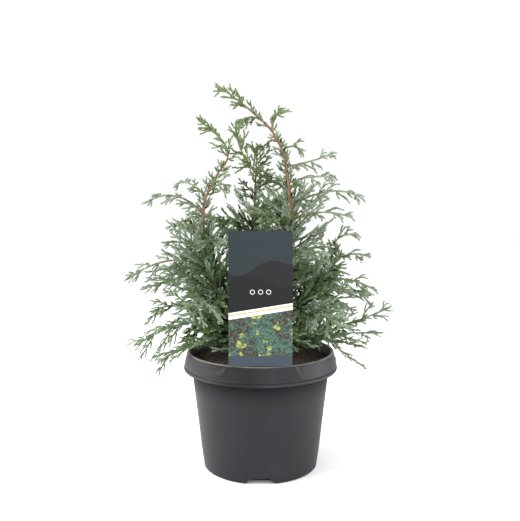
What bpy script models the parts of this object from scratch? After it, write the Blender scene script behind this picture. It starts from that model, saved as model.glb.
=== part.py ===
"""A dwarf sawara cypress in a grower's pot: pot, compost, care card, trunk, stems, boughs and sprays.

The plant stands on the pot's flat underside, at z = 0, with the pot's axis on Z. The trunk runs up
through the crown to the leader, three stems and the lower boughs spring from it, and every spray of
foliage grows by one seeded rule from its own twig, inside the space nearest that twig.
"""

import math
import random
from dataclasses import dataclass

import bmesh
import bpy
import numpy as np
from mathutils import Vector

MM = 0.001
GAP = 0.3 * MM
UP = np.array((0.0, 0.0, 1.0))

# The pot: a 19 cm grower's container with a hollow collar and four foot notches
POT_SIDES = 44
POT_HEIGHT = 144.7 * MM
LIP_RADIUS = 87.5 * MM
LIP_WIDTH = 2.8 * MM
LIP_DROP = 1.0 * MM
BAND_RADIUS = 91.1 * MM
BAND_FOOT = 133.0 * MM
BEAD_RADIUS = 93.4 * MM
BEAD_HEIGHT = 131.0 * MM
COLLAR_RADIUS = 95.0 * MM
COLLAR_EDGE = 122.0 * MM
COLLAR_THICKNESS = 1.6 * MM
COLLAR_EDGE_SLOPE = 0.4 * MM
GROOVE_TOP = 136.0 * MM
GROOVE_RADIUS = 89.1 * MM
WALL_THICKNESS = 1.8 * MM
WALL_FOOT_RADIUS = 70.9 * MM
WALL_WIDENING = 13.9 * MM
WALL_FOOT = 6.0 * MM
FOOT_RADIUS = 69.8 * MM
FOOT_ROUNDING = 1.6 * MM
FLOOR_RADIUS = 55.0 * MM
FLOOR_RAMP = 2.0 * MM
FLOOR_THICKNESS = 3.0 * MM
FOOT_STEP = 9.0 * MM
NOTCH_BLOCK = 20.0 * MM
NOTCH_BELOW = 2.0 * MM
NOTCH_HEIGHT = 6.5 * MM
NOTCH_DEPTH = 7.0 * MM
NOTCH_TOP_WIDTH = 23.0 * MM
NOTCH_FOOT_WIDTH = 36.0 * MM
NOTCH_COUNT = 4

# The compost
COMPOST_MIDDLE = 135.5 * MM
COMPOST_EDGE = 131.5 * MM
COMPOST_FLAT = 14.0 * MM
COMPOST_SHOULDER = 8.0 * MM
COMPOST_SHOULDER_DROP = 1.5 * MM

# The care card, which stands on the lip at the front with its stake in the compost
CARD_WIDTH = 71.0 * MM
CARD_HEIGHT = 151.8 * MM
CARD_THICKNESS = 0.8 * MM
CARD_FRONT = -88.4 * MM
STAKE_WIDTH = 22.0 * MM
STAKE_SETBACK = 11.0 * MM
STAKE_FOOT = 96.0 * MM
BRIDGE_THICKNESS = 1.0 * MM
JOIN_INSET = 0.1 * MM

# The trunk and stems
LIMB_BEVEL = 1
WELD = 0.001 * MM
CARRIED_ON = 0.42
LIMB_STEP = 14.0 * MM
FLARE_HEIGHT = 16.0 * MM
FLARE_SPREAD = 1.55
BOUGH_THICKENING = 6.0

# The sprays
TWIG_ROOT = 1.25 * MM
TWIG_TIP = 0.8 * MM
TWIG_STEP = 12.0 * MM
TWIG_END = 0.93
FIRST_SHOOT = 0.08
LAST_SHOOT = 0.88
END_SHOOT = 0.84
SHOOT_PITCH = 10.0 * MM
SHOOT_LEAN = 54.0
LEAN_LOST = 18.0
LEAN_VARIES = 6.0
ROLL_VARIES = 34.0
LENGTH_VARIES = 0.12
TURNING_IN = 0.45
SHOOT_ROOT = 0.42 * MM
SHOOT_NARROWING = 0.35
SHOOT_HALF_WIDTH = 1.25 * MM
SHOOT_RIDGE = 1.3 * MM
SHOOT_STRETCH = 12.5 * MM
TOOTH_REACH = 10.0 * MM
TOOTH_SWEEP = 0.35
TOOTH_SHORTENING = 0.45
TOOTH_DROP = 0.3
SHOOT_DROOP = 0.14
ROOT_FREE = 6.0 * MM
SPACE_MARGIN = 0.9 * MM
LIMB_MARGIN = 0.7 * MM
RIM_MARGIN = 2.0 * MM
RIM_INSIDE = 7.0 * MM
TOP_MARGIN = 1.5 * MM
SHORTENED = (1.0, 0.85, 0.72, 0.6, 0.5, 0.4)

BARK = (0.30, 0.13, 0.08)
FRESH_GREEN = (0.22, 0.31, 0.11)
BLUE_GREEN = (0.11, 0.19, 0.14)
PLASTIC = (0.055, 0.057, 0.062)
COMPOST_BROWN = (0.025, 0.017, 0.012)
CARD_SLATE = (0.06, 0.09, 0.11)

# Each stem: its carrier, then the places in millimetres that it passes, and its foot and tip radius
STEMS = {
    "trunk": (
        None,
        ((-2, 0, 129), (17, 4, 215), (35, 2, 300), (31, 0, 370), (16, 0, 409), (-8, 0, 433)),
        4.6,
        1.0,
    ),
    "stem_left": (
        "trunk",
        ((3, 1, 152), (-40, -5, 195), (-64, -8, 260), (-69, -6, 318), (-57, -4, 352), (-43, -2, 373)),
        3.2,
        1.0,
    ),
    "stem_right": (
        "trunk",
        ((6, 2, 166), (42, 10, 192), (72, 9, 226), (92, 6, 252), (92, 3, 274)),
        2.8,
        1.0,
    ),
    "stem_back": (
        "trunk",
        ((2, 1, 146), (-4, 30, 188), (-10, 46, 245), (-8, 50, 318)),
        3.0,
        1.1,
    ),
}

# Each outer spray that the view shows: its carrier, the height it springs from, its tip, how far along
# and above the straight line its bend lies, the share that is bare wood, its longest shoot and its tilt
# towards the front. A height of None means that it grows on from the carrier's tip. Millimetres, degrees.
OUTER_SPRAYS = {
    "leader_tip": ("trunk", None, (-49, 0, 464), 0, 0, 0, 24, 80),
    "top_left": ("trunk", 424, (-24, -8, 422), 0.5, 9, 0, 13, 70),
    "top_up": ("trunk", 411, (23, -4, 437), 0.3, 4, 0, 15, 80),
    "top_inner": ("trunk", 397, (3, -14, 390), 0.6, 10, 0, 16, 70),
    "top_right": ("trunk", 386, (50, 12, 390), 0.5, 9, 0, 21, 75),
    "leader_right_high": ("trunk", 366, (90, 22, 387), 0.6, -4, 0, 28, 70),
    "leader_right_mid": ("trunk", 347, (86, -30, 356), 0.5, 8, 0, 30, 60),
    "leader_fan": ("trunk", 343, (-30, 6, 421), 0.95, -58, 0.4, 34, 80),
    "right_long": ("trunk", 320, (125, 8, 331), 0.6, 26, 0, 34, 65),
    "right_under": ("trunk", 303, (106, -32, 310), 0.5, 14, 0, 34, 60),
    "left_tip": ("stem_left", None, (-74, 4, 425), 0, 0, 0, 26, 80),
    "left_upper": ("stem_left", 331, (-104, 20, 349), 0.55, 16, 0, 24, 70),
    "left_long": ("stem_left", 311, (-137, -10, 327), 0.5, 28, 0, 32, 65),
    "left_mid": ("stem_left", 288, (-116, 26, 295), 0.5, 14, 0, 30, 60),
    "left_mid_low": ("stem_left", 262, (-112, -34, 280), 0.5, 12, 0, 32, 55),
    "left_arch": ("stem_left", 240, (-164, 6, 232), 0.45, 36, 0.2, 40, 60),
    "left_arch_low": ("stem_left", 218, (-138, -34, 225), 0.5, 20, 0, 38, 50),
    "left_low": ("stem_left", 196, (-137, 26, 188), 0.5, 18, 0, 38, 50),
    "low_left": ("stem_left", 172, (-150, -8, 153), 0.5, 34, 0.3, 40, 60),
    "low_left_under": ("stem_left", 161, (-119, -40, 140), 0.45, 22, 0.3, 34, 50),
    "inner_left": ("stem_left", 336, (-38, -34, 346), 0.5, 10, 0, 30, 70),
    "arch_tip": ("stem_right", None, (119, 16, 287), 0, 0, 0, 26, 75),
    "arch_right": ("stem_right", 254, (128, -24, 263), 0.5, 9, 0, 28, 65),
    "right_mid": ("stem_right", 228, (145, 24, 215), 0.5, 16, 0, 38, 55),
    "inner_right": ("stem_right", 240, (67, -34, 297), 0.3, 12, 0, 32, 75),
    "low_right": ("trunk", 143, (156, -10, 198), 0.55, -9, 0.5, 38, 60),
    "low_right_under": ("bough_low_right", 157, (140, -38, 173), 0.5, 6, 0, 36, 50),
}

# The sprays all round: carrier, height, compass angle, share of the crown's radius, rise, bend's lift,
# bare wood and longest shoot. 0 degrees is right, 90 the back, 270 the front.
ROUND_SPRAYS = {
    "back_low": ("stem_back", 178, 80, 0.95, -6, 18, 0.3, 44),
    "back_left": ("stem_back", 208, 128, 0.98, 8, 18, 0.3, 44),
    "back_right": ("stem_back", 226, 48, 0.98, 6, 18, 0.3, 44),
    "back_middle": ("stem_back", 256, 95, 0.95, 10, 16, 0, 40),
    "back_high_left": ("stem_back", 284, 140, 0.85, 22, 12, 0, 38),
    "back_high_right": ("stem_back", 300, 62, 0.8, 28, 10, 0, 36),
    "back_top": ("stem_back", None, 95, 0.55, 78, 0, 0, 34),
    "rear_left": ("stem_left", 232, 143, 0.95, 6, 18, 0, 42),
    "rear_right": ("stem_right", 205, 30, 0.98, -4, 20, 0, 42),
    "front_left": ("stem_left", 206, 238, 0.86, 0, 18, 0, 40),
    "front_left_high": ("stem_left", 272, 246, 0.70, 14, 12, 0, 36),
    "front_right": ("stem_right", 192, 306, 0.86, 4, 18, 0, 40),
    "front_right_high": ("trunk", 258, 300, 0.80, 12, 14, 0, 36),
    "front_high": ("trunk", 292, 262, 0.52, 24, 10, 0, 34),
    "front_middle": ("trunk", 222, 262, 0.50, 22, 14, 0, 36),
    "front_low_left": ("trunk", 156, 232, 0.58, -14, 16, 0, 34),
    "front_low_right": ("trunk", 170, 303, 0.66, -24, 14, 0, 34),
}
CROWN_RADIUS = 165.0 * MM
CROWN_WIDEST = 190.0 * MM
CROWN_ABOVE = 285.0 * MM
CROWN_BELOW = 125.0 * MM
ROUND_TILT = 20
ROUND_TILT_STEP = 9


@dataclass
class Limb:
    """A round woody piece: its axis from foot to tip, and its radius at both."""

    axis: np.ndarray
    foot_radius: float
    tip_radius: float

    def radius_at(self, share):
        return self.foot_radius + (self.tip_radius - self.foot_radius) * share


@dataclass
class Spray:
    """A mass of foliage: its twig's axis, the plane its root is cut to, its facing and longest shoot."""

    name: str
    axis: np.ndarray
    cut_at: np.ndarray
    cut_towards: np.ndarray
    facing: np.ndarray
    longest: float
    seed: int


def clear_scene():
    for obj in list(bpy.data.objects):
        bpy.data.objects.remove(obj, do_unlink=True)


def new_collection(name):
    collection = bpy.data.collections.new(name)
    bpy.context.scene.collection.children.link(collection)
    return collection


def finish_material(name, colour, roughness, metallic=0.0):
    material = bpy.data.materials.new(name)
    material.use_nodes = True
    shader = material.node_tree.nodes["Principled BSDF"]
    shader.inputs["Base Color"].default_value = (*colour, 1.0)
    shader.inputs["Roughness"].default_value = roughness
    shader.inputs["Metallic"].default_value = metallic
    return material


def unit(vector):
    return vector / np.linalg.norm(vector)


def lengths_along(path):
    steps = np.linalg.norm(np.diff(path, axis=0), axis=1)
    return np.concatenate(([0.0], np.cumsum(steps)))


def even_points(path, count):
    """The same path with count points at even distances."""
    along = lengths_along(path)
    wanted = np.linspace(0.0, along[-1], count)
    return np.stack([np.interp(wanted, along, path[:, axis]) for axis in range(3)], axis=1)


def curve_through(places, fineness=16):
    """A Catmull-Rom curve through the places, as evenly spaced points."""
    places = np.asarray(places, float)
    padded = np.vstack((2 * places[0] - places[1], places, 2 * places[-1] - places[-2]))
    t = np.linspace(0.0, 1.0, fineness, endpoint=False)[:, None]
    stretches = []
    for a, b, c, d in zip(padded, padded[1:], padded[2:], padded[3:]):
        cubic = 3 * b - 3 * c + d - a
        square = 2 * a - 5 * b + 4 * c - d
        stretches.append(0.5 * (2 * b + (c - a) * t + square * t**2 + cubic * t**3))
    path = np.vstack((*stretches, places[-1:]))
    return even_points(path, len(path))


def bent_path(start, bend, end, count=48):
    """A quadratic curve from start to end, drawn towards bend."""
    t = np.linspace(0.0, 1.0, count)[:, None]
    path = (1 - t) ** 2 * start + 2 * t * (1 - t) * bend + t**2 * end
    return even_points(path, count)


def share_of(path, first, last, count):
    """The stretch of a path between two shares of its length."""
    along = lengths_along(path)
    wanted = np.linspace(first, last, count) * along[-1]
    return np.stack([np.interp(wanted, along, path[:, axis]) for axis in range(3)], axis=1)


def mesh_object(name, bm, collection, material=None):
    mesh = bpy.data.meshes.new(name)
    bm.to_mesh(mesh)
    bm.free()
    obj = bpy.data.objects.new(name, mesh)
    collection.objects.link(obj)
    if material:
        mesh.materials.append(material)
    return obj


def turned(name, profile, collection, material):
    """A profile of (radius, height) points turned round Z."""
    bm = bmesh.new()
    points = [bm.verts.new((radius, 0.0, height)) for radius, height in profile]
    for a, b in zip(points, points[1:]):
        bm.edges.new((a, b))
    obj = mesh_object(name, bm, collection, material)
    screw = obj.modifiers.new("Turn", "SCREW")
    screw.steps = screw.render_steps = POT_SIDES
    screw.use_merge_vertices = True
    screw.merge_threshold = WELD
    screw.use_smooth_shade = True
    return obj


def cut_with(obj, cutter):
    boolean = obj.modifiers.new("Cut", "BOOLEAN")
    boolean.operation = "DIFFERENCE"
    boolean.object = cutter


def as_cutter(obj):
    obj.hide_render = True
    obj.display_type = "WIRE"
    return obj


def wall_radius(height):
    """The pot's outer wall, which tapers evenly from the collar's edge to the foot."""
    return WALL_FOOT_RADIUS + (height / COLLAR_EDGE) * WALL_WIDENING


def inner_radius(height):
    return wall_radius(height) - WALL_THICKNESS


def pot_profile():
    """Floor, inner wall, lip, hollow collar, outer wall and foot, as (radius, height)."""
    return (
        (0.0, FLOOR_THICKNESS),
        (FLOOR_RADIUS, FLOOR_THICKNESS),
        (FLOOR_RADIUS + FLOOR_RAMP, FOOT_STEP),
        (inner_radius(FOOT_STEP), FOOT_STEP),
        (inner_radius(GROOVE_TOP), GROOVE_TOP),
        (LIP_RADIUS, POT_HEIGHT),
        (LIP_RADIUS + LIP_WIDTH, POT_HEIGHT - LIP_DROP),
        (BAND_RADIUS, BAND_FOOT),
        (BEAD_RADIUS, BEAD_HEIGHT),
        (COLLAR_RADIUS, COLLAR_EDGE),
        (COLLAR_RADIUS - COLLAR_THICKNESS, COLLAR_EDGE - COLLAR_EDGE_SLOPE),
        (GROOVE_RADIUS, GROOVE_TOP),
        (wall_radius(GROOVE_TOP), GROOVE_TOP),
        (wall_radius(WALL_FOOT), WALL_FOOT),
        (FOOT_RADIUS, FOOT_ROUNDING),
        (FOOT_RADIUS - FOOT_ROUNDING, 0.0),
        (0.0, 0.0),
    )


def notch_cutter(index, collection):
    """A block that narrows upwards, standing across the foot."""
    bm = bmesh.new()
    bmesh.ops.create_cube(bm, size=1.0)
    angle = 2 * math.pi * index / NOTCH_COUNT
    inner = FOOT_RADIUS - NOTCH_DEPTH
    for vert in bm.verts:
        top = vert.co.z > 0
        width = NOTCH_TOP_WIDTH if top else NOTCH_FOOT_WIDTH
        outward = inner if vert.co.x < 0 else inner + NOTCH_BLOCK
        across = math.copysign(width / 2, vert.co.y)
        height = NOTCH_HEIGHT if top else -NOTCH_BELOW
        vert.co = Vector((outward, across, height))
    cutter = mesh_object(f"notch_cutter_{index + 1}", bm, collection)
    cutter.rotation_euler.z = angle
    return as_cutter(cutter)


def box(name, low, high, collection, material=None):
    bm = bmesh.new()
    bmesh.ops.create_cube(bm, size=1.0)
    low, high = Vector(low), Vector(high)
    for vert in bm.verts:
        vert.co = Vector(low[i] if vert.co[i] < 0 else high[i] for i in range(3))
    return mesh_object(name, bm, collection, material)


def make_pot(parts, cutters):
    pot = turned("pot", pot_profile(), parts, finish_material("pot_plastic", PLASTIC, 0.55))
    for index in range(NOTCH_COUNT):
        cut_with(pot, notch_cutter(index, cutters))
    return pot


def stake_span():
    back = CARD_FRONT + STAKE_SETBACK
    return back - CARD_THICKNESS, back


def make_compost(parts, cutters):
    """The filling, 0.3 mm clear of the pot's inner faces, with a slot for the card's stake."""
    flat_sides = math.cos(math.pi / POT_SIDES)
    edge = inner_radius(COMPOST_EDGE) * flat_sides - GAP
    foot = inner_radius(FOOT_STEP) * flat_sides - GAP
    profile = (
        (0.0, COMPOST_MIDDLE),
        (COMPOST_FLAT, COMPOST_MIDDLE),
        (edge - COMPOST_SHOULDER, COMPOST_EDGE),
        (edge, COMPOST_EDGE - COMPOST_SHOULDER_DROP),
        (foot, FOOT_STEP + GAP),
        (FLOOR_RADIUS - GAP, FOOT_STEP + GAP),
        (FLOOR_RADIUS - FLOOR_RAMP, FLOOR_THICKNESS + GAP),
        (0.0, FLOOR_THICKNESS + GAP),
    )
    compost = turned("compost", profile, parts, finish_material("compost", COMPOST_BROWN, 0.95))
    front, back = stake_span()
    half = STAKE_WIDTH / 2 + GAP
    slot = box(
        "stake_slot",
        (-half, front - GAP, STAKE_FOOT - GAP),
        (half, back + GAP, POT_HEIGHT),
        cutters,
    )
    cut_with(compost, as_cutter(slot))
    return compost


def make_card(parts, cutters):
    """The card, a bridge over the lip and the stake, joined as one piece."""
    foot = POT_HEIGHT + 2 * GAP
    back = CARD_FRONT + CARD_THICKNESS
    stake_front, stake_back = stake_span()
    half_card, half_stake = CARD_WIDTH / 2, STAKE_WIDTH / 2
    material = finish_material("card_print", CARD_SLATE, 0.45)
    card = box(
        "care_card", (-half_card, CARD_FRONT, foot), (half_card, back, foot + CARD_HEIGHT), parts, material
    )
    bridge = box(
        "card_bridge",
        (-half_stake, CARD_FRONT + 2 * JOIN_INSET, foot + JOIN_INSET),
        (half_stake, stake_back, foot + JOIN_INSET + BRIDGE_THICKNESS),
        cutters,
    )
    stake = box(
        "card_stake",
        (JOIN_INSET - half_stake, stake_front, STAKE_FOOT),
        (half_stake - JOIN_INSET, stake_back - JOIN_INSET, foot + BRIDGE_THICKNESS - JOIN_INSET),
        cutters,
    )
    for piece in (bridge, stake):
        union = card.modifiers.new("Join", "BOOLEAN")
        union.operation = "UNION"
        union.object = as_cutter(piece)
    return card


def limb_object(name, limb, collection, material, flare=False):
    """A limb as a tapering tube: a curve whose points carry the radius, made a mesh."""
    length = lengths_along(limb.axis)[-1]
    count = max(4, round(length / LIMB_STEP) + 1)
    points = even_points(limb.axis, count)
    shares = np.linspace(0.0, 1.0, count)
    if flare:
        points = np.insert(points, 1, points[0] + unit(points[1] - points[0]) * FLARE_HEIGHT, axis=0)
        shares = np.insert(shares, 1, FLARE_HEIGHT / length)
    curve = bpy.data.curves.new(name, "CURVE")
    curve.dimensions = "3D"
    curve.bevel_depth = MM
    curve.bevel_resolution = LIMB_BEVEL
    curve.use_fill_caps = True
    spline = curve.splines.new("POLY")
    spline.points.add(len(points) - 1)
    for index, (point, place, share) in enumerate(zip(spline.points, points, shares)):
        point.co = (*place, 1.0)
        spread = FLARE_SPREAD if flare and index == 0 else 1.0
        point.radius = limb.radius_at(share) / MM * spread
    drawn = bpy.data.objects.new(name + "_curve", curve)
    collection.objects.link(drawn)
    graph = bpy.context.evaluated_depsgraph_get()
    mesh = bpy.data.meshes.new_from_object(drawn.evaluated_get(graph))
    bpy.data.objects.remove(drawn)
    bpy.data.curves.remove(curve)
    bm = bmesh.new()
    bm.from_mesh(mesh)
    bpy.data.meshes.remove(mesh)
    bmesh.ops.remove_doubles(bm, verts=bm.verts, dist=WELD)
    limb_mesh = mesh_object(name, bm, collection, material)
    limb_mesh.data.shade_smooth()
    return limb_mesh


def cut_flat(obj, place, towards):
    """Takes off what lies behind the plane at place, and closes the cut."""
    bm = bmesh.new()
    bm.from_mesh(obj.data)
    geometry = bm.verts[:] + bm.edges[:] + bm.faces[:]
    bmesh.ops.bisect_plane(
        bm, geom=geometry, plane_co=place, plane_no=towards, clear_inner=True, dist=WELD
    )
    open_edges = [edge for edge in bm.edges if edge.is_boundary]
    bmesh.ops.holes_fill(bm, edges=open_edges)
    bmesh.ops.recalc_face_normals(bm, faces=bm.faces)
    bm.to_mesh(obj.data)
    bm.free()


def place_at_height(limb, height):
    """The axis point of a limb at a height, its direction there and its radius."""
    index = int(np.argmax(limb.axis[:, 2] >= height))
    index = max(1, min(index, len(limb.axis) - 2))
    direction = unit(limb.axis[index + 1] - limb.axis[index - 1])
    share = lengths_along(limb.axis)[index] / lengths_along(limb.axis)[-1]
    return limb.axis[index], direction, limb.radius_at(share)


def bark_plane(limb, height, heading):
    """A plane 0.3 mm clear of a limb's bark, square to the side that heading leaves from."""
    place, direction, radius = place_at_height(limb, height)
    outward = unit(heading - np.dot(heading, direction) * direction)
    return place + outward * (radius + GAP), outward


def started_at_plane(path, place, towards):
    """The path from where it passes the plane."""
    beyond = (path - place) @ towards
    index = int(np.argmax(beyond > 0))
    before, after = beyond[index - 1], beyond[index]
    crossing = path[index - 1] + (path[index] - path[index - 1]) * (-before / (after - before))
    return np.vstack((crossing, path[index:]))


def crown_radius(height):
    """The crown's outline: widest a little above the rim, closing in above and below."""
    reach = CROWN_ABOVE if height > CROWN_WIDEST else CROWN_BELOW
    return CROWN_RADIUS * max(0.1, 1.0 - ((height - CROWN_WIDEST) / reach) ** 2)


def round_tip(height, compass, share, rise):
    angle = math.radians(compass)
    top = height * MM + rise * MM
    radius = crown_radius(top) * share
    return np.array((radius * math.cos(angle), radius * math.sin(angle), top))


def make_stems(parts, bark):
    """The trunk from its flat cut to the leader, and the stems that spring from it."""
    limbs = {}
    for name, (carrier, places, foot, tip) in STEMS.items():
        limb = Limb(curve_through(np.array(places) * MM), foot * MM, tip * MM)
        obj = limb_object(name, limb, parts, bark, flare=carrier is None)
        if carrier:
            plane = bark_plane(limbs[carrier], limb.axis[0][2], limb.axis[8] - limb.axis[0])
        else:
            plane = (UP * (COMPOST_MIDDLE + GAP), UP)
        cut_flat(obj, *plane)
        limbs[name] = limb
    return limbs


def spray_courses(limbs):
    """Each spray's carrier, root height, tip, bend, bare share, longest shoot and tilt, in metres."""
    for name, row in OUTER_SPRAYS.items():
        carrier, height, tip, along, lift, wood, longest, tilt = row
        yield name, carrier, height, np.array(tip) * MM, along, lift, wood, longest, tilt
    for index, (name, row) in enumerate(ROUND_SPRAYS.items()):
        carrier, height, compass, share, rise, lift, wood, longest = row
        root_height = height or limbs[carrier].axis[-1][2] / MM
        tip = round_tip(root_height, compass, share, rise)
        along = 0.5 if height else 0.0
        tilt = ROUND_TILT + ROUND_TILT_STEP * (index % 4)
        yield name, carrier, height, tip, along, lift, wood, longest, tilt


def facing_of(course, tilt):
    """The way the flat of a spray looks: up at 0 degrees, to the front at 90, square to its course."""
    angle = math.radians(tilt)
    wanted = np.array((0.0, -math.sin(angle), math.cos(angle)))
    return unit(wanted - np.dot(wanted, course) * course)


def grow_boughs(limbs, parts, bark):
    """Makes each bough and returns the sprays, whose twigs start 0.3 mm clear of what carries them."""
    sprays = []
    for seed, row in enumerate(spray_courses(limbs), start=1):
        name, carrier_name, height, tip, along, lift, wood, longest, tilt = row
        carrier = limbs[carrier_name]
        if height is None:
            heading = unit(carrier.axis[-1] - carrier.axis[-3])
            start = carrier.axis[-1] + heading * GAP
            bend = start + heading * CARRIED_ON * np.linalg.norm(tip - start)
            path = bent_path(start, bend, tip)
            plane = (start, heading)
        else:
            start = place_at_height(carrier, height * MM)[0]
            bend = start + along * (tip - start) + UP * lift * MM
            path = bent_path(start, bend, tip)
            plane = bark_plane(carrier, height * MM, bend - start)
            path = started_at_plane(path, *plane)
        if wood:
            radius = TWIG_ROOT * (1.0 + BOUGH_THICKENING * np.linalg.norm(tip - start))
            bough = Limb(share_of(path, 0.0, wood, 12), radius, TWIG_ROOT)
            full = Limb(np.vstack((start, bough.axis)), radius, TWIG_ROOT)
            obj = limb_object("bough_" + name, full, parts, bark)
            cut_flat(obj, *plane)
            limbs["bough_" + name] = bough
            heading = unit(bough.axis[-1] - bough.axis[-2])
            plane = (bough.axis[-1] + heading * GAP, heading)
            path = started_at_plane(share_of(path, wood, 1.0, 40), *plane)
        facing = facing_of(unit(path[-1] - path[0]), tilt)
        sprays.append(Spray("spray_" + name, path, *plane, facing, longest * MM, seed))
    return sprays


def distance_to_path(points, path):
    """The distance from each point to a run of straight stretches."""
    starts, ends = path[:-1], path[1:]
    runs = ends - starts
    offsets = points[:, None, :] - starts[None, :, :]
    shares = np.einsum("pik,ik->pi", offsets, runs) / np.einsum("ik,ik->i", runs, runs)
    nearest = starts + np.clip(shares, 0.0, 1.0)[..., None] * runs
    return np.linalg.norm(points[:, None, :] - nearest, axis=2).min(axis=1)


class Spaces:
    """Which points are free for a spray: nearest its own twig, off every limb, the pot and the card."""

    def __init__(self, sprays, limbs):
        self.twigs = {spray.name: even_points(spray.axis, 9) for spray in sprays}
        self.limbs = [(even_points(limb.axis, 14), limb) for limb in limbs.values()]

    def free(self, points, name):
        own = distance_to_path(points, self.twigs[name])
        for other, twig in self.twigs.items():
            if other != name and (distance_to_path(points, twig) < own + 2 * SPACE_MARGIN).any():
                return False
        for axis, limb in self.limbs:
            if distance_to_path(points, axis).min() < limb.foot_radius * 0.9 + LIMB_MARGIN:
                return False
        return clear_of_pot(points) and clear_of_card(points)


def clear_of_pot(points):
    radius = np.hypot(points[:, 0], points[:, 1])
    inside = radius <= LIP_RADIUS - RIM_INSIDE
    over_rim = ~inside & (radius < COLLAR_RADIUS + RIM_MARGIN)
    above_inside = np.where(inside, COMPOST_MIDDLE + TOP_MARGIN, 0.0)
    floor = np.where(over_rim, POT_HEIGHT + TOP_MARGIN, above_inside)
    return bool((points[:, 2] > floor).all())


def clear_of_card(points):
    beside = np.abs(points[:, 0]) > CARD_WIDTH / 2 + RIM_MARGIN
    above = points[:, 2] > POT_HEIGHT + CARD_HEIGHT + RIM_MARGIN
    behind = points[:, 1] > CARD_FRONT + STAKE_SETBACK + TOP_MARGIN
    return bool((beside | above | behind).all())


def twig_mesh(spray):
    """The spray's own stem: a three-sided taper whose root lies in the plane it is cut to."""
    length = lengths_along(spray.axis)[-1]
    count = max(4, round(length * TWIG_END / TWIG_STEP) + 1)
    points = share_of(spray.axis, 0.0, TWIG_END, count)
    bm = bmesh.new()
    rings = []
    for index, place in enumerate(points):
        course = unit(points[min(index + 1, count - 1)] - points[max(index - 1, 0)])
        ridge = unit(spray.facing - np.dot(spray.facing, course) * course)
        across = np.cross(course, ridge)
        radius = TWIG_ROOT + (TWIG_TIP - TWIG_ROOT) * index / (count - 1)
        ring = []
        for corner in range(3):
            angle = 2 * math.pi * corner / 3 + math.pi / 2
            vert = place + radius * (math.cos(angle) * across + math.sin(angle) * ridge)
            if index == 0:
                behind = np.dot(vert - spray.cut_at, spray.cut_towards)
                vert = vert - course * behind / np.dot(course, spray.cut_towards)
            ring.append(bm.verts.new(vert))
        rings.append(ring)
    for lower, upper in zip(rings, rings[1:]):
        for corner in range(3):
            following = (corner + 1) % 3
            bm.faces.new((lower[corner], lower[following], upper[following], upper[corner]))
    bm.faces.new(rings[0])
    bm.faces.new(rings[-1])
    bmesh.ops.recalc_face_normals(bm, faces=bm.faces)
    return bm


def toothed_shoot(path, facing):
    """A pointed blade with a ridge, whose teeth stand for the sprigs on both sides.

    Returns its corners and its faces as rows of corner numbers: a left, right and ridge corner at
    each station, a tooth on both sides of each stretch, and the tip.
    """
    corners, faces = [], []
    stations = len(path) - 1
    frames = []
    for index in range(stations):
        course = unit(path[index + 1] - path[max(index - 1, 0)])
        ridge = unit(facing - np.dot(facing, course) * course)
        across = np.cross(ridge, course)
        frames.append((course, across, ridge))
        swell = 1.0 - SHOOT_NARROWING * index / stations
        half = SHOOT_HALF_WIDTH * swell if index else SHOOT_ROOT
        rise = SHOOT_RIDGE * swell if index else SHOOT_ROOT * 1.6
        base = path[index] - ridge * rise * 0.4
        corners += [base + across * half, base - across * half, path[index] + ridge * rise * 0.6]
    for index in range(stations - 1):
        course, across, ridge = frames[index + 1]
        stretch = np.linalg.norm(path[index + 1] - path[index])
        reach = TOOTH_REACH * (1.0 - TOOTH_SHORTENING * index / stations)
        ahead = path[index + 1] + course * stretch * TOOTH_SWEEP - ridge * SHOOT_RIDGE * TOOTH_DROP
        corners += [ahead + across * reach, ahead - across * reach]
    corners.append(path[-1])
    tip = len(corners) - 1
    first_tooth = 3 * stations
    for index in range(stations - 1):
        left, right, top = 3 * index, 3 * index + 1, 3 * index + 2
        next_left, next_right, next_top = left + 3, right + 3, top + 3
        left_tooth, right_tooth = first_tooth + 2 * index, first_tooth + 2 * index + 1
        faces += [
            (left, top, left_tooth),
            (top, next_top, left_tooth),
            (next_top, next_left, left_tooth),
            (top, right, right_tooth),
            (next_top, top, right_tooth),
            (next_right, next_top, right_tooth),
            (right, left, left_tooth, next_left),
            (right, next_left, next_right, right_tooth),
        ]
    last = 3 * (stations - 1)
    faces += [(last, last + 2, tip), (last + 2, last + 1, tip), (last + 1, last, tip), (0, 1, 2)]
    return np.array(corners), faces


def shoot_plan(spray):
    """Where each side shoot leaves the twig, its length and its facing, by the seeded rule.

    Shoots leave left and right in turn. They are longest two fifths of the way up the twig, lean
    further forward towards its tip, and hang a little at their ends.
    """
    draw = random.Random(spray.seed)
    length = lengths_along(spray.axis)[-1]
    span = LAST_SHOOT - FIRST_SHOOT
    count = max(3, round(length * span / SHOOT_PITCH))
    for index in range(count):
        share = FIRST_SHOOT + span * index / (count - 1)
        place = share_of(spray.axis, share, min(1.0, share + 0.04), 2)
        course = unit(place[1] - place[0])
        ridge = unit(spray.facing - np.dot(spray.facing, course) * course)
        side = np.cross(ridge, course) * (1 if index % 2 else -1)
        roll = math.radians(draw.uniform(-ROLL_VARIES, ROLL_VARIES))
        lean = math.radians(SHOOT_LEAN - LEAN_LOST * share + draw.uniform(-LEAN_VARIES, LEAN_VARIES))
        outward = math.cos(roll) * side + math.sin(roll) * ridge
        heading = math.cos(lean) * course + math.sin(lean) * outward
        swell = math.sin(math.pi * (0.24 + 0.66 * share))
        reach = spray.longest * swell * draw.uniform(1 - LENGTH_VARIES, 1 + LENGTH_VARIES)
        facing = unit(ridge * math.cos(roll) - side * math.sin(roll))
        yield place[0], heading, course, reach, facing


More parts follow.
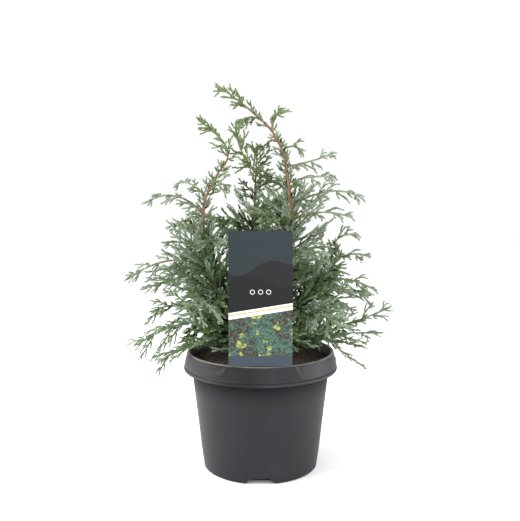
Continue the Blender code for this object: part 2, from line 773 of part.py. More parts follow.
def shoot_path(root, heading, course, reach):
    """From the twig's axis outwards, turning towards the twig's own course and hanging at the end."""
    stretches = 3 if reach > 2.4 * SHOOT_STRETCH else 2
    t = np.linspace(0.0, 1.0, stretches + 1)[:, None]
    turned_in = unit(heading + TURNING_IN * course) * 0.5 * t**2
    return root + reach * (heading * (t - 0.5 * t**2) + turned_in - UP * SHOOT_DROOP * t**2)


def samples_of(corners, path):
    """Points on a shoot that have to lie in its space: corners, teeth's middles and its axis."""
    outer = path[1:]
    middles = (corners[:, None, :] * 0.5 + outer[None, :, :] * 0.5).reshape(-1, 3)
    near_root = np.linalg.norm(middles - path[0], axis=1) < ROOT_FREE
    return np.vstack((corners[3:], middles[~near_root], outer))


def add_shoot(corners, faces, collection, name):
    bm = bmesh.new()
    verts = [bm.verts.new(corner) for corner in corners]
    for face in faces:
        bm.faces.new([verts[index] for index in face])
    bmesh.ops.triangulate(bm, faces=bm.faces)
    bmesh.ops.recalc_face_normals(bm, faces=bm.faces)
    return mesh_object(name, bm, collection)


def joined(obj, pieces):
    """Fuses a collection's objects onto obj, and removes them."""
    union = obj.modifiers.new("Fuse", "BOOLEAN")
    union.operation = "UNION"
    union.operand_type = "COLLECTION"
    union.collection = pieces
    union.solver = "MANIFOLD"
    graph = bpy.context.evaluated_depsgraph_get()
    mesh = bpy.data.meshes.new_from_object(obj.evaluated_get(graph))
    obj.modifiers.clear()
    bm = bmesh.new()
    bm.from_mesh(mesh)
    bpy.data.meshes.remove(mesh)
    keep_largest_piece(bm)
    bmesh.ops.triangulate(bm, faces=bm.faces)
    bm.to_mesh(obj.data)
    bm.free()
    for piece in list(pieces.objects):
        bpy.data.objects.remove(piece, do_unlink=True)


def keep_largest_piece(bm):
    """Drops loose scraps and the skins of sealed hollows."""
    unseen = set(bm.verts)
    pieces = []
    while unseen:
        piece, front = set(), [unseen.pop()]
        while front:
            vert = front.pop()
            piece.add(vert)
            linked = {edge.other_vert(vert) for edge in vert.link_edges} & unseen
            unseen -= linked
            front.extend(linked)
        pieces.append(piece)
    pieces.sort(key=len)
    for piece in pieces[:-1]:
        bmesh.ops.delete(bm, geom=list(piece), context="VERTS")


def grow_spray(spray, spaces, parts, pieces, material):
    """One mass of foliage: the twig with its free shoots fused on."""
    obj = mesh_object(spray.name, twig_mesh(spray), parts, material)
    plans = [(plan, SHORTENED) for plan in shoot_plan(spray)]
    end = share_of(spray.axis, END_SHOOT, 1.0, 3)
    end_course = unit(end[-1] - end[0])
    plans.append(((end[0], end_course, end_course, None, spray.facing), (1.0,)))
    grown = 0
    for (root, heading, course, reach, facing), shares in plans:
        for share in shares:
            path = end if reach is None else shoot_path(root, heading, course, reach * share)
            corners, faces = toothed_shoot(path, facing)
            if reach is None or spaces.free(samples_of(corners, path), spray.name):
                add_shoot(corners, faces, pieces, f"{spray.name}_shoot_{grown}")
                grown += 1
                break
    joined(obj, pieces)
    return obj


def main():
    clear_scene()
    parts = new_collection("potted_dwarf_sawara_cypress")
    cutters = new_collection("cutters")
    pieces = new_collection("shoots_to_fuse")
    make_pot(parts, cutters)
    make_compost(parts, cutters)
    make_card(parts, cutters)
    bark = finish_material("bark", BARK, 0.8)
    limbs = make_stems(parts, bark)
    sprays = grow_boughs(limbs, parts, bark)
    spaces = Spaces(sprays, limbs)
    fresh = finish_material("fresh_foliage", FRESH_GREEN, 0.6)
    blue = finish_material("blue_foliage", BLUE_GREEN, 0.6)
    for spray in sprays:
        material = fresh if spray.axis[-1][2] > 400 * MM else blue
        grow_spray(spray, spaces, parts, pieces, material)
    bpy.data.collections.remove(pieces)


main()
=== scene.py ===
"""The looks of a potted blue dwarf sawara cypress, laid out as a Blender add-on and run as a script.

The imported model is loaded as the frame. A finer piece then stands in the place of every node: the pot
with its hollow collar, the compost with its crumbs, the care card with a plain printed design, the
bark of the trunk, stems and boughs, and the sprays, which grow by the same seeded rule as the solids
and carry on to sprigs and leaves.
"""

import random
from dataclasses import dataclass
from itertools import combinations, product
from math import acos, atan2, ceil, cos, hypot, pi, radians, sin, sqrt, tau

import bpy
import numpy as np
from bpy.props import FloatProperty, FloatVectorProperty, IntProperty, PointerProperty
from bpy.types import Operator, Panel, PropertyGroup
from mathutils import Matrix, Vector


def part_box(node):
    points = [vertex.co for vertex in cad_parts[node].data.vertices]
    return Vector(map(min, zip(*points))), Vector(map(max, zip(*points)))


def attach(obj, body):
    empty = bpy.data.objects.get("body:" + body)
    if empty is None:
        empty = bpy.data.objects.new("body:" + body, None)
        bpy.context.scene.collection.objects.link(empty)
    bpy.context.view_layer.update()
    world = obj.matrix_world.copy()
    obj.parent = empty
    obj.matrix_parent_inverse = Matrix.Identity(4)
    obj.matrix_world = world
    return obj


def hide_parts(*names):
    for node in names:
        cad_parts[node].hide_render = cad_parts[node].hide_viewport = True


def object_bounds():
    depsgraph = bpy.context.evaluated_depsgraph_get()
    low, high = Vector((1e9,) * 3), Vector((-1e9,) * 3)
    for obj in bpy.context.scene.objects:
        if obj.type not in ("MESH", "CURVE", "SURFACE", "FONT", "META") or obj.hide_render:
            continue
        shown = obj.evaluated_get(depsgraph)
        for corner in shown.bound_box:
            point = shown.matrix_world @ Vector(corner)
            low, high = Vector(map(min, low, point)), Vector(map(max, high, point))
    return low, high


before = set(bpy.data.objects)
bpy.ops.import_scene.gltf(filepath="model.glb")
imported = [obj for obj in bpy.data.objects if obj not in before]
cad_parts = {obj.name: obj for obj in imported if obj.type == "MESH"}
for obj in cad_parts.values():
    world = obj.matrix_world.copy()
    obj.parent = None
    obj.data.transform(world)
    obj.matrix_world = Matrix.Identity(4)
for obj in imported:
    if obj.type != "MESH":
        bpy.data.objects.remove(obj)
CAD_BOX = [list(corner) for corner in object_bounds()]

bl_info = {
    "name": "Potted dwarf sawara cypress",
    "version": (1, 0, 0),
    "blender": (4, 5, 0),
    "location": "3D View > Sidebar > Cypress",
    "description": "Builds the pot, compost, care card, bark and foliage round the packed model",
    "category": "Object",
}

MM = 0.001
UP = np.array((0.0, 0.0, 1.0))
MOST_FACES = 190_000

# The pot, as the source has it: the collar and the height are read from the frame
POT_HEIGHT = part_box("pot")[1].z
COLLAR_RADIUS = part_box("pot")[1].x
LIP_RADIUS = 87.5 * MM
LIP_WIDTH = 2.8 * MM
BAND_RADIUS = 91.1 * MM
COLLAR_BULGE = 131.0 * MM
COLLAR_EDGE = 122.0 * MM
GROOVE_TOP = 136.0 * MM
GROOVE_RADIUS = 89.1 * MM
WALL_THICKNESS = 1.8 * MM
WALL_FOOT_RADIUS = 70.9 * MM
WALL_WIDENING = 13.9 * MM
FOOT_RADIUS = 69.8 * MM
FLOOR_RADIUS = 55.0 * MM
FLOOR_THICKNESS = 3.0 * MM
FOOT_STEP = 9.0 * MM
NOTCH_COUNT = 4
NOTCH_HEIGHT = 6.5 * MM
NOTCH_END = 59.0 * MM
NOTCH_TOP_WIDTH = 23.0 * MM
NOTCH_FOOT_WIDTH = 36.0 * MM
NOTCH_FADE = 15.0 * MM
POT_SIDES = 288
# The smooth zone for the card at the front, between the collar's recessed panels
FRONT_ZONE = 26.0
PANEL_FOOT = 132.6 * MM
PANEL_TOP = 165.0 * MM
PANEL_CORNER = 10.0 * MM
PANEL_FADE = 144.0 * MM
PANEL_FADE_LENGTH = 2.2 * MM
# The panels fade out towards the sides, between these cosines of the angle
PANEL_SEEN = 0.6
PANEL_LOST = 0.85
# Where a panel's recess is full and gone, from its edge, and the spread of the line round it
RECESS_EDGE = (-2.0 * MM, 0.4 * MM)
RIDGE_SPREAD = 1.2 * MM
# The two lugs: the angle and height of each, and how far they spread sideways and upwards
LUGS = ((-32.0, 138.5 * MM), (-9.0, 136.5 * MM))
LUG_SPREAD = (2.0 * MM, 2.6 * MM)
LIP_FLAT = 1.2 * MM
EDGE_WIDTH = 1.6 * MM
# The innermost ring of a profile, and the usual step along the collar
INNERMOST = 1.0 * MM
COLLAR_STEP = 0.7 * MM
# Under the collar's edge, where the shade on the wall is full and gone
COLLAR_SHADE_FULL = 2.0 * MM
COLLAR_SHADE_GONE = 30.0 * MM
# The top of the lip that carries a painted highlight
LIP_HIGHLIGHT_DEPTH = 0.8 * MM
# Across the collar, where the card's shade is gone and full at its left, then at its right
CARD_SHADE_LEFT = (-60.0 * MM, -42.0 * MM)
CARD_SHADE_RIGHT = (14.0 * MM, -14.0 * MM)
# Above the collar's edge, where the light on its rolled foot is gone and full
ROLL_LIT = (7.0 * MM, 1.0 * MM)

# The compost
COMPOST_MIDDLE = 135.5 * MM
COMPOST_EDGE = 131.5 * MM
COMPOST_FLAT = 14.0 * MM
COMPOST_SHOULDER = 8.0 * MM
COMPOST_SIDES = 220
COMPOST_GAP = 0.5 * MM
# The surface's lumps, each with its share of the height, its width and its noise's seed
LUMPS = ((0.9, 9.0 * MM, 3.0), (0.7, 3.6 * MM, 5.0), (0.4, 1.7 * MM, 8.0))
# How far from the pot's wall the lumps end, and the width over which they fade
LUMPS_END = 0.8 * MM
LUMPS_FADE = 4.0 * MM
CRUMB_LONGEST = 3.4 * MM
CRUMB_SEED = 11
CHIP_LONGEST = 5.0 * MM
CHIP_SEED = 12
CRUMBS_TO_A_CHIP = 5
SMALLEST_CRUMB = 0.22
CRUMB_RAISED = 0.3

# The care card, whose board and stake are read from the frame
CARD_LOW, CARD_HIGH = (np.array(corner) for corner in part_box("care_card"))
CARD_FOOT = POT_HEIGHT + 0.6 * MM
CARD_THICKNESS = 0.8 * MM
CARD_CORNER = 2.2 * MM
CARD_EDGE = 0.12 * MM
STAKE_WIDTH = 22.0 * MM
STAKE_SETBACK = 11.0 * MM
STRAP_RISE = 0.9 * MM
# The stake's point: its length, and its width at the end as a share
STAKE_POINT = 14.0 * MM
STAKE_POINT_WIDTH = 0.35
# The printed design, in millimetres up the board. A row of hills has its mean height, then waves: the
# radians a millimetre, the start and the height of each
FAR_HILLS = (112.0, (0.11, 0.8, 4.0), (0.043, 0.0, 7.0))
NEAR_HILLS = (96.0, (0.075, 2.6, 6.5), (0.21, 0.0, 1.2))
RINGS_UP = 84.0
RINGS_APART = 9.0
RING_RADIUS = 2.4
RING_HALF_WIDTH = 0.35
BAND_SLANT = 0.16
BAND_TOP = 66.0
LINE_TOP = 63.6
LINE_FOOT = 62.2
BAND_FOOT = 58.6
STRIP_TOP = 12.0

# The trunk and stems
FLARE_HEIGHT = 9.0 * MM
FLARE_SPREAD = 0.6
BOUGH_THICKENING = 6.0
CARRIED_ON = 0.42
FLARE_LOBES = 3
FLARE_LOBE_HEIGHT = 0.14
FLARE_LOBE_START = 0.7
TRUNK_SUNK = 2.5 * MM
BARK_STEP = 1.5 * MM
BARK_SIDES = 22
# The bark's ridges: the noise's scale round a limb, the length of one, and finer ones laid over them
RIDGE_SCALE = 3.2
RIDGE_LENGTH = 7.0 * MM
FINE_RIDGE_HEIGHT = 0.6
FINE_RIDGE_SCALE = 2.3

# The sprays, by the source's rule
TWIG_ROOT = 1.25 * MM
TWIG_MIDDLE = 0.8 * MM
TWIG_TIP = 0.4 * MM
FIRST_SHOOT = 0.08
LAST_SHOOT = 0.88
SHOOT_PITCH = 10.0 * MM
SHOOT_LEAN = 54.0
LEAN_LOST = 18.0
LEAN_VARIES = 6.0
ROLL_VARIES = 34.0
LENGTH_VARIES = 0.12
TURNING_IN = 0.45
SHOOT_STRETCH = 12.5 * MM
SHOOT_DROOP = 0.14
TOOTH_REACH = 10.0 * MM
TOOTH_SWEEP = 0.35
TOOTH_SHORTENING = 0.45
ROOT_FREE = 6.0 * MM
SPACE_MARGIN = 0.9 * MM
LIMB_MARGIN = 0.7 * MM
LIMB_GIRTH = 0.9
RIM_MARGIN = 2.0 * MM
RIM_INSIDE = 7.0 * MM
TOP_MARGIN = 1.5 * MM
SHORTENED = (1.0, 0.85, 0.72, 0.6, 0.5, 0.4)
# A shoot's length along the twig is a sine, from this share of a half turn and by so much of one
SHOOT_SWELL = (0.24, 0.66)
COURSE_STEP = 0.04
# A shoot longer than so many stretches has four stations, a shorter one three
LONG_SHOOT = 2.4

# What the scene adds to that rule: the twig's end as a shoot from this share on, a shoot across from
# each, then sprigs and side sprigs
END_SHOOT = 0.74
ACROSS_OFFSET = 0.25
SPRIG_LEAN = 40.0
SPRIG_LEAN_LOST = 16.0
SPRIG_LEAN_VARIES = 7.0
SPRIG_ROLL = 24.0
FIRST_SPRIG = 0.09
LAST_SPRIG = 0.97
# A sprig's reach against the source's teeth, its swell along the shoot, and how it varies. Short shoots
# have this share of it, and more by their length against the last one
SPRIG_REACH = 1.32
SPRIG_SWELL = (0.22, 0.62)
SPRIG_REACH_DRAWN = (0.6, 1.15)
SHORT_SHOOT_SHARE = 0.45
SHORT_SHOOT_LENGTH = 40.0 * MM
# How far a sprig and a side sprig turn towards the course of what bears them
SPRIG_TURN_IN = 0.32
SIDE_SPRIG_TURN_IN = 0.2
SIDE_SPRIG_HANG = 0.06
SIDE_SPRIG_SHARES = (0.3, 0.6)
SIDE_SPRIG_LEAN = 36.0
SIDE_SPRIG_LEAN_VARIES = 8.0
# Only longer sprigs branch. A side sprig's reach is a share of the sprig's, less further along
BRANCHING_FROM = 8.5 * MM
SIDE_SPRIG_REACH = 0.62
SIDE_SPRIG_REACH_LOST = 0.45
SIDE_SPRIG_REACH_DRAWN = (0.75, 1.15)
# Short shoots round a stem or twig, each turned so far from the one before: on the twigs, then on the
# stems and boughs, where their length is a share of the crown's radius
TURN = 137.5
TURN_VARIES = 25.0
ROUND_LEAN_VARIES = 12.0
ROUND_REACH_DRAWN = (0.6, 1.1)
ROUND_TILT_MOST = 80.0
TWIG_PITCH = 8.0 * MM
TWIG_LEAN = 30.0
TWIG_REACH = 20.0 * MM
TWIG_REACH_LOST = 8.0 * MM
STEM_PITCH = 2.1 * MM
STEM_LEAN = 52.0
STEM_SHOOT_DROOP = 0.1
INNER_SHARE = 0.42
INNER_LOST = 0.8
OPEN_ABOVE = 305.0 * MM
OPEN_TOP = 355.0 * MM
LOWEST_SHOOT = 143.0 * MM
# The stems that lean out of the crown's middle, whose shoots are shorter towards their tips
OUTER_STEMS = ("stem_left", "stem_right")
# The close shoots that hide a stem below the open top
COVER_PITCH = 2.0 * MM
COVER_LEAN = 38.0
COVER_REACH = 17.0 * MM
# The few short shoots on the bare wood above that
LEADER_PITCH = 8.0 * MM
LEADER_LEAN = 42.0
LEADER_REACH = 15.0 * MM
SHORTEST_SHOOT = 6.0 * MM
# Between these heights no shoot leaves a stem more to the front than this, so that its bark is seen
BARK_SEEN = (296.0 * MM, 406.0 * MM)
BARK_SEEN_FRONT = 0.4
# An outer stem's shoots are shorter between these shares of it, and it is open from lower down
OUTER_STEM_FADE = (0.35, 0.8)
OUTER_COVER_FADE = (0.45, 0.85)
OUTER_OPENED = 38.0 * MM
# Nothing grows over the compost's front, forward of this place and under a plane that rises from the
# compost at this slope
OPEN_FROM = 30.0 * MM
OPEN_SLOPE = 0.23
# The chance of a shoot across from each, at the twig's root, and how much less at its tip
ACROSS_KEPT = 0.9
ACROSS_LOST = 1.3
# The outer sprays' shoots are shorter than the solids', most at their tips, so that the sky shows. The
# close sprays' shoots keep their length.
OUTER_REACH = 0.82
OUTER_SHORTENED = 0.55
CLOSE_SPRAYS = (
    "low_left", "low_left_under", "left_low", "leader_fan", "left_tip", "low_right", "leader_tip"
)
# The share of the usual reach that some sprays' shoots have
REACH_SHARES = {
    "left_long": 0.7, "left_upper": 0.72, "left_mid": 0.65, "left_mid_low": 0.9, "left_arch": 0.8,
    "left_arch_low": 0.9, "leader_fan": 1.15, "left_tip": 0.62, "leader_tip": 0.62, "back_top": 0.9,
    "inner_right": 0.85, "leader_right_high": 0.88, "leader_right_mid": 0.88, "right_long": 0.92,
    "right_under": 0.9, "arch_tip": 0.8, "arch_right": 0.8, "right_mid": 0.76, "low_right": 0.62,
    "low_right_under": 0.76, "front_right": 0.9,
}
# How many steps paler, or darker below 0, the tints of some sprays and stems are, partly as painted light
# and shade
PALER_STEPS = {
    "left_long": 0.4, "left_upper": -0.1, "left_mid": -0.6, "left_mid_low": -0.3, "left_arch": -0.2,
    "left_arch_low": -0.6, "left_low": -0.7, "low_left": -0.6, "low_left_under": -0.6,
    "leader_fan": -0.5, "back_top": -1.3, "back_high_left": -0.7, "back_high_right": -0.7,
    "inner_left": 0.7, "inner_right": 0.8, "top_inner": -0.6, "leader_right_high": 0.2,
    "leader_right_mid": 0.2, "right_mid": 0.2, "low_right": 0.4, "low_right_under": 0.4,
    "front_high": 1.9, "front_middle": 1.4, "front_right_high": 0.3, "front_left_high": 0.3,
    "trunk": 1.0, "stem_left": -0.1, "stem_right": -0.1,
}
# The share of a twig past which no short shoots grow round it, and that of the open outer twigs
TWIG_BARE_FROM = 0.5
OPEN_TWIG_BARE_FROM = 0.2
# How far a sprig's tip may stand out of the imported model's box
BOX_MARGIN = 2.0 * MM
# A twig bears leaves from this share of it on, in stretches of about this length, and its green part
# lies between the next two shares
CLOTHED_FROM = 0.15
CLOTHED_STEP = 9.0 * MM
GREEN_FROM = 0.45
TWIG_END = 0.98
TWIG_POINTS = 16
# The points of every shoot, sprig and side sprig
PATH_POINTS = 5
# The radius of a shoot's and of a sprig's stem, at its root and its tip
SHOOT_STEM_RADII = (0.62 * MM, 0.34 * MM)
SPRIG_STEM_RADII = (0.36 * MM, 0.2 * MM)
# The leaves: where in its stretch of the path a pair sits, its turn in radians, how much shorter it is at
# the path's tip, and how length and lean in degrees vary
LEAF_SEAT = 0.55
LEAF_TURN = 0.4
LEAF_TURN_VARIES = 0.35
LEAF_SHORTENED = 0.3
LEAF_LENGTH_DRAWN = (0.85, 1.15)
LEAF_LEAN = (10.0, 23.0)
# A leaf's outline: where it is widest, how far it is drawn in there and at its root, and its tip's bend
LEAF_WIDEST = 0.42
LEAF_KEEL = 0.22
LEAF_ROOT = 0.1
LEAF_TIP_BEND = 0.12
# Where the seeds of each kind of random draw start
ACROSS_SEEDS = 1000
SPRAY_TINT_SEEDS = 5000
TWIG_SHOOT_SEEDS = 6000
STEM_SHOOT_SEEDS = 6500
SPRAY_SPRIG_SEEDS = 7000
COVER_SHOOT_SEEDS = 7500
STEM_TINT_SEEDS = 8000
LEADER_SHOOT_SEEDS = 8500
STEM_SPRIG_SEEDS = 9000
LEAF_SEED = 99

# Between these places across the plant the bark turns young and green
YOUNG_BARK_FROM = (45.0 * MM, 75.0 * MM)

# Each stem: its foot and tip radius, then the places that it passes, in millimetres
STEMS = {
    "trunk": (4.6, 1.0, (-2, 0, 129), (17, 4, 215), (35, 2, 300), (31, 0, 370), (16, 0, 409), (-8, 0, 433)),
    "stem_left": (
        3.2, 1.0, (3, 1, 152), (-40, -5, 195), (-64, -8, 260), (-69, -6, 318), (-57, -4, 352), (-43, -2, 373)
    ),
    "stem_right": (2.8, 1.0, (6, 2, 166), (42, 10, 192), (72, 9, 226), (92, 6, 252), (92, 3, 274)),
    "stem_back": (3.0, 1.1, (2, 1, 146), (-4, 30, 188), (-10, 46, 245), (-8, 50, 318)),
}

# Each outer spray that the view shows: its carrier, the height it springs from, its tip, how far along
# and above the straight line its bend lies, the share that is bare wood, its longest shoot and its tilt
# towards the front. A height of None means that it grows on from the carrier's tip. Millimetres, degrees.
OUTER_SPRAYS = {
    "leader_tip": ("trunk", None, (-49, 0, 464), 0, 0, 0, 24, 80),
    "top_left": ("trunk", 424, (-24, -8, 422), 0.5, 9, 0, 13, 70),
    "top_up": ("trunk", 411, (23, -4, 437), 0.3, 4, 0, 15, 80),
    "top_inner": ("trunk", 397, (3, -14, 390), 0.6, 10, 0, 16, 70),
    "top_right": ("trunk", 386, (50, 12, 390), 0.5, 9, 0, 21, 75),
    "leader_right_high": ("trunk", 366, (90, 22, 387), 0.6, -4, 0, 28, 70),
    "leader_right_mid": ("trunk", 347, (86, -30, 356), 0.5, 8, 0, 30, 60),
    "leader_fan": ("trunk", 343, (-30, 6, 421), 0.95, -58, 0.4, 34, 80),
    "right_long": ("trunk", 320, (125, 8, 331), 0.6, 26, 0, 34, 65),
    "right_under": ("trunk", 303, (106, -32, 310), 0.5, 14, 0, 34, 60),
    "left_tip": ("stem_left", None, (-74, 4, 425), 0, 0, 0, 26, 80),
    "left_upper": ("stem_left", 331, (-104, 20, 349), 0.55, 16, 0, 24, 70),
    "left_long": ("stem_left", 311, (-137, -10, 327), 0.5, 28, 0, 32, 65),
    "left_mid": ("stem_left", 288, (-116, 26, 295), 0.5, 14, 0, 30, 60),
    "left_mid_low": ("stem_left", 262, (-112, -34, 280), 0.5, 12, 0, 32, 55),
    "left_arch": ("stem_left", 240, (-164, 6, 232), 0.45, 36, 0.2, 40, 60),
    "left_arch_low": ("stem_left", 218, (-138, -34, 225), 0.5, 20, 0, 38, 50),
    "left_low": ("stem_left", 196, (-137, 26, 188), 0.5, 18, 0, 38, 50),
    "low_left": ("stem_left", 172, (-150, -8, 153), 0.5, 34, 0.3, 40, 60),
    "low_left_under": ("stem_left", 161, (-119, -40, 140), 0.45, 22, 0.3, 34, 50),
    "inner_left": ("stem_left", 336, (-38, -34, 346), 0.5, 10, 0, 30, 70),
    "arch_tip": ("stem_right", None, (119, 16, 287), 0, 0, 0, 26, 75),
    "arch_right": ("stem_right", 254, (128, -24, 263), 0.5, 9, 0, 28, 65),
    "right_mid": ("stem_right", 228, (145, 24, 215), 0.5, 16, 0, 38, 55),
    "inner_right": ("stem_right", 240, (67, -34, 297), 0.3, 12, 0, 32, 75),
    "low_right": ("trunk", 143, (156, -10, 198), 0.55, -9, 0.5, 38, 60),
    "low_right_under": ("bough_low_right", 157, (140, -38, 173), 0.5, 6, 0, 36, 50),
}

# The sprays all round: carrier, height, compass angle, share of the crown's radius, rise, bend's lift,
# bare wood and longest shoot. 0 degrees is right, 90 the back, 270 the front.
ROUND_SPRAYS = {
    "back_low": ("stem_back", 178, 80, 0.95, -6, 18, 0.3, 44),
    "back_left": ("stem_back", 208, 128, 0.98, 8, 18, 0.3, 44),
    "back_right": ("stem_back", 226, 48, 0.98, 6, 18, 0.3, 44),
    "back_middle": ("stem_back", 256, 95, 0.95, 10, 16, 0, 40),
    "back_high_left": ("stem_back", 284, 140, 0.85, 22, 12, 0, 38),
    "back_high_right": ("stem_back", 300, 62, 0.8, 28, 10, 0, 36),
    "back_top": ("stem_back", None, 95, 0.55, 78, 0, 0, 34),
    "rear_left": ("stem_left", 232, 143, 0.95, 6, 18, 0, 42),
    "rear_right": ("stem_right", 205, 30, 0.98, -4, 20, 0, 42),
    "front_left": ("stem_left", 206, 238, 0.86, 0, 18, 0, 40),
    "front_left_high": ("stem_left", 272, 246, 0.70, 14, 12, 0, 36),
    "front_right": ("stem_right", 192, 306, 0.86, 4, 18, 0, 40),
    "front_right_high": ("trunk", 258, 300, 0.80, 12, 14, 0, 36),
    "front_high": ("trunk", 292, 262, 0.52, 24, 10, 0, 34),
    "front_middle": ("trunk", 222, 262, 0.50, 22, 14, 0, 36),
    "front_low_left": ("trunk", 156, 232, 0.58, -14, 16, 0, 34),
    "front_low_right": ("trunk", 170, 303, 0.66, -24, 14, 0, 34),
}
CROWN_RADIUS = 165.0 * MM
CROWN_WIDEST = 190.0 * MM
CROWN_ABOVE = 285.0 * MM
CROWN_BELOW = 125.0 * MM
ROUND_TILT = 20
ROUND_TILT_STEP = 9

# Each leaf tint: its name, and its mix of the shade, glaucous, pale and fresh colours
TINTS = (
    # The shade colour, near black, and the deep tints mixed from it are painted shade for the leaves inside
    # the crown
    ("shade", (1.0, 0.0, 0.0, 0.0)),
    ("deep", (0.38, 0.27, 0.0, 0.35)),
    ("middle", (0.08, 0.48, 0.0, 0.44)),
    ("glaucous", (0.0, 0.85, 0.15, 0.0)),
    ("pale", (0.0, 0.35, 0.65, 0.0)),
    ("fresh_deep", (0.40, 0.15, 0.0, 0.45)),
    ("fresh", (0.0, 0.2, 0.1, 0.7)),
    ("fresh_pale", (0.0, 0.15, 0.25, 0.60)),
)
FIRST_FRESH = 5
FRESH_SPRAYS = ("leader_tip", "top_left", "top_up", "left_tip", "leader_fan")
HALF_FRESH_SPRAYS = ("front_high", "top_inner", "back_top", "inner_left")
# Painted light and shade: the tints are darker in the crown's middle and low down, and paler outwards,
# higher up and in front
# A tint's number in the crown's middle at this height, its rise outwards, up to a share of the crown's
# radius, then upwards for each metre, along the twig and in front, and how it varies
LIGHT_INSIDE = 0.5
LIGHT_HEIGHT = 200.0 * MM
LIGHT_OUTWARDS = 3.5
LIGHT_OUTERMOST = 1.1
LIGHT_UPWARDS = 8.0
LIGHT_ALONG = 0.5
LIGHT_IN_FRONT = 0.8
LIGHT_VARIES = 1.4
# The same for the fresh tints
FRESH_AT_ROOT = 0.6
FRESH_ALONG = 1.3
FRESH_VARIES = 0.6
# The steps, drawn at random, from a shoot's tint to its sprigs' and side sprigs', and the shares of the
# shoot up to which sprigs are darker and from which they are paler
TINT_STEPS = (-1, 0, 0, 1)
SIDE_TINT_STEPS = (-1, 0)
# Sprigs up to this share of the shoot are darker as painted shade
DARKER_UP_TO = 0.35
PALER_FROM = 0.6

# The view that the photograph has, for an image of 520 by 521 pixels
CAMERA_PLACE = (-0.0006, -0.85, 0.342)
CAMERA_DOWN = 0.1015
FOCAL_PIXELS = 696.0
IMAGE_LONG_SIDE = 521
SENSOR_WIDTH = 36.0
# The paper underneath, in metres, and the height that the lights point at
PAPER_RADIUS = 5.0
PAPER_DROP = 0.05 * MM
PAPER_SIDES = 64
LIGHTS_AIM = 0.22


# Settings that a user would change


def colour_property(name, description, colour):
    return FloatVectorProperty(
        name=name, description=description, default=colour, subtype="COLOR", size=3, min=0.0, max=1.0
    )


def length_property(name, description, millimetres):
    return FloatProperty(
        name=name, description=description, default=millimetres * MM, unit="LENGTH", precision=5, min=0.0
    )


def power_property(name, description, watts):
    return FloatProperty(name=name, description=description, default=watts, unit="POWER", min=0.0)


class PotSettings(PropertyGroup):
    """The pot's plastic and the relief of its collar."""

    plastic: colour_property("Plastic", "The moulded plastic", (0.0122, 0.0127, 0.0153))
    # A painted highlight colour for the lip's top
    lip_highlight: colour_property("Highlit lip", "The lip's rubbed top", (0.19, 0.165, 0.165))
    panel_recess: length_property("Panel recess", "How deep the collar's panels lie", 0.8)
    panel_ridge: length_property("Panel ridge", "How far the line round a panel stands out", 0.9)
    lug_height: length_property("Lug height", "How far the two small lugs stand out", 1.3)


class CompostSettings(PropertyGroup):
    """The compost's colours and grain."""

    earth: colour_property("Earth", "The damp compost", (0.040, 0.033, 0.025))
    bark_chip: colour_property("Bark chip", "The bark chips in it", (0.055, 0.028, 0.016))
    roughening: length_property("Roughening", "Height of the lumps in the surface", 1.3)
    crumbs: IntProperty(name="Crumbs", description="Number of loose crumbs", default=3000, min=0)


class CardSettings(PropertyGroup):
    """The colours of the care card's plain printed design."""

    slate: colour_property("Slate", "Ground of the upper part", (0.0150, 0.0215, 0.0260))
    hills: colour_property("Hills", "Rolling hills on the upper part", (0.0045, 0.0047, 0.0056))
    strip: colour_property("Strip", "Strip along the foot", (0.033, 0.043, 0.058))
    band: colour_property("Band", "Pale band across the middle", (0.74, 0.75, 0.72))
    line: colour_property("Line", "Warm line along the band", (0.80, 0.24, 0.03))
    leafy: colour_property("Leafy", "Leaf shapes below the band", (0.036, 0.068, 0.051))
    soil: colour_property("Soil", "Ground between the leaf shapes", (0.035, 0.024, 0.020))
    young_leaf: colour_property("Young leaf", "Lighter leaf shapes", (0.42, 0.46, 0.10))


class BarkSettings(PropertyGroup):
    """The bark's colours and relief."""

    bark: colour_property("Bark", "Red-brown of the stems", (0.235, 0.132, 0.082))
    furrow: colour_property("Furrow", "Brown in the bark's furrows", (0.060, 0.033, 0.022))
    young_bark: colour_property("Young bark", "The boughs and right-hand stem", (0.075, 0.085, 0.040))
    relief: FloatProperty(name="Relief", description="As a share of the radius", default=0.16, min=0.0)


class FoliageSettings(PropertyGroup):
    """The sizes and colours of twigs, sprigs and leaves."""

    # Painted shade: the near-black colour of the leaves deep inside the crown
    shade: colour_property("Shade", "Leaves deep inside the crown", (0.013, 0.029, 0.008))
    glaucous: colour_property("Glaucous", "The blue-green of most leaves", (0.120, 0.186, 0.088))
    pale: colour_property("Pale", "The waxy pale leaves of the tips", (0.335, 0.388, 0.312))
    fresh: colour_property("Fresh", "The yellow-green of young leaves", (0.172, 0.238, 0.080))
    wood: colour_property("Wood", "Thin red-brown twigs", (0.200, 0.130, 0.075))
    green_wood: colour_property("Green wood", "The stems of young shoots", (0.150, 0.170, 0.080))
    sprig_pitch: length_property("Sprig pitch", "Distance between the sprigs of a shoot", 4.2)
    leaf_pitch: length_property("Leaf pitch", "Distance between pairs of leaves", 1.45)
    leaf_length: length_property("Leaf length", "Length of a leaf", 4.3)
    leaf_width: length_property("Leaf width", "Width of a leaf", 2.7)


class StageSettings(PropertyGroup):
    """The floor and the lights."""

    floor: colour_property("Floor", "The pale floor", (0.97, 0.97, 0.97))
    surround: FloatProperty(name="Surround", description="Strength of the white", default=1.03, min=0.0)
    key_power: power_property("Key light", "Power of the light at the left", 36.0)
    fill_power: power_property("Fill light", "Power of the light at the right", 22.0)
    edge_power: power_property("Edge light", "Power of the low light at the left", 7.0)
    front_power: power_property("Front light", "Power of the light in front, to the right", 6.5)


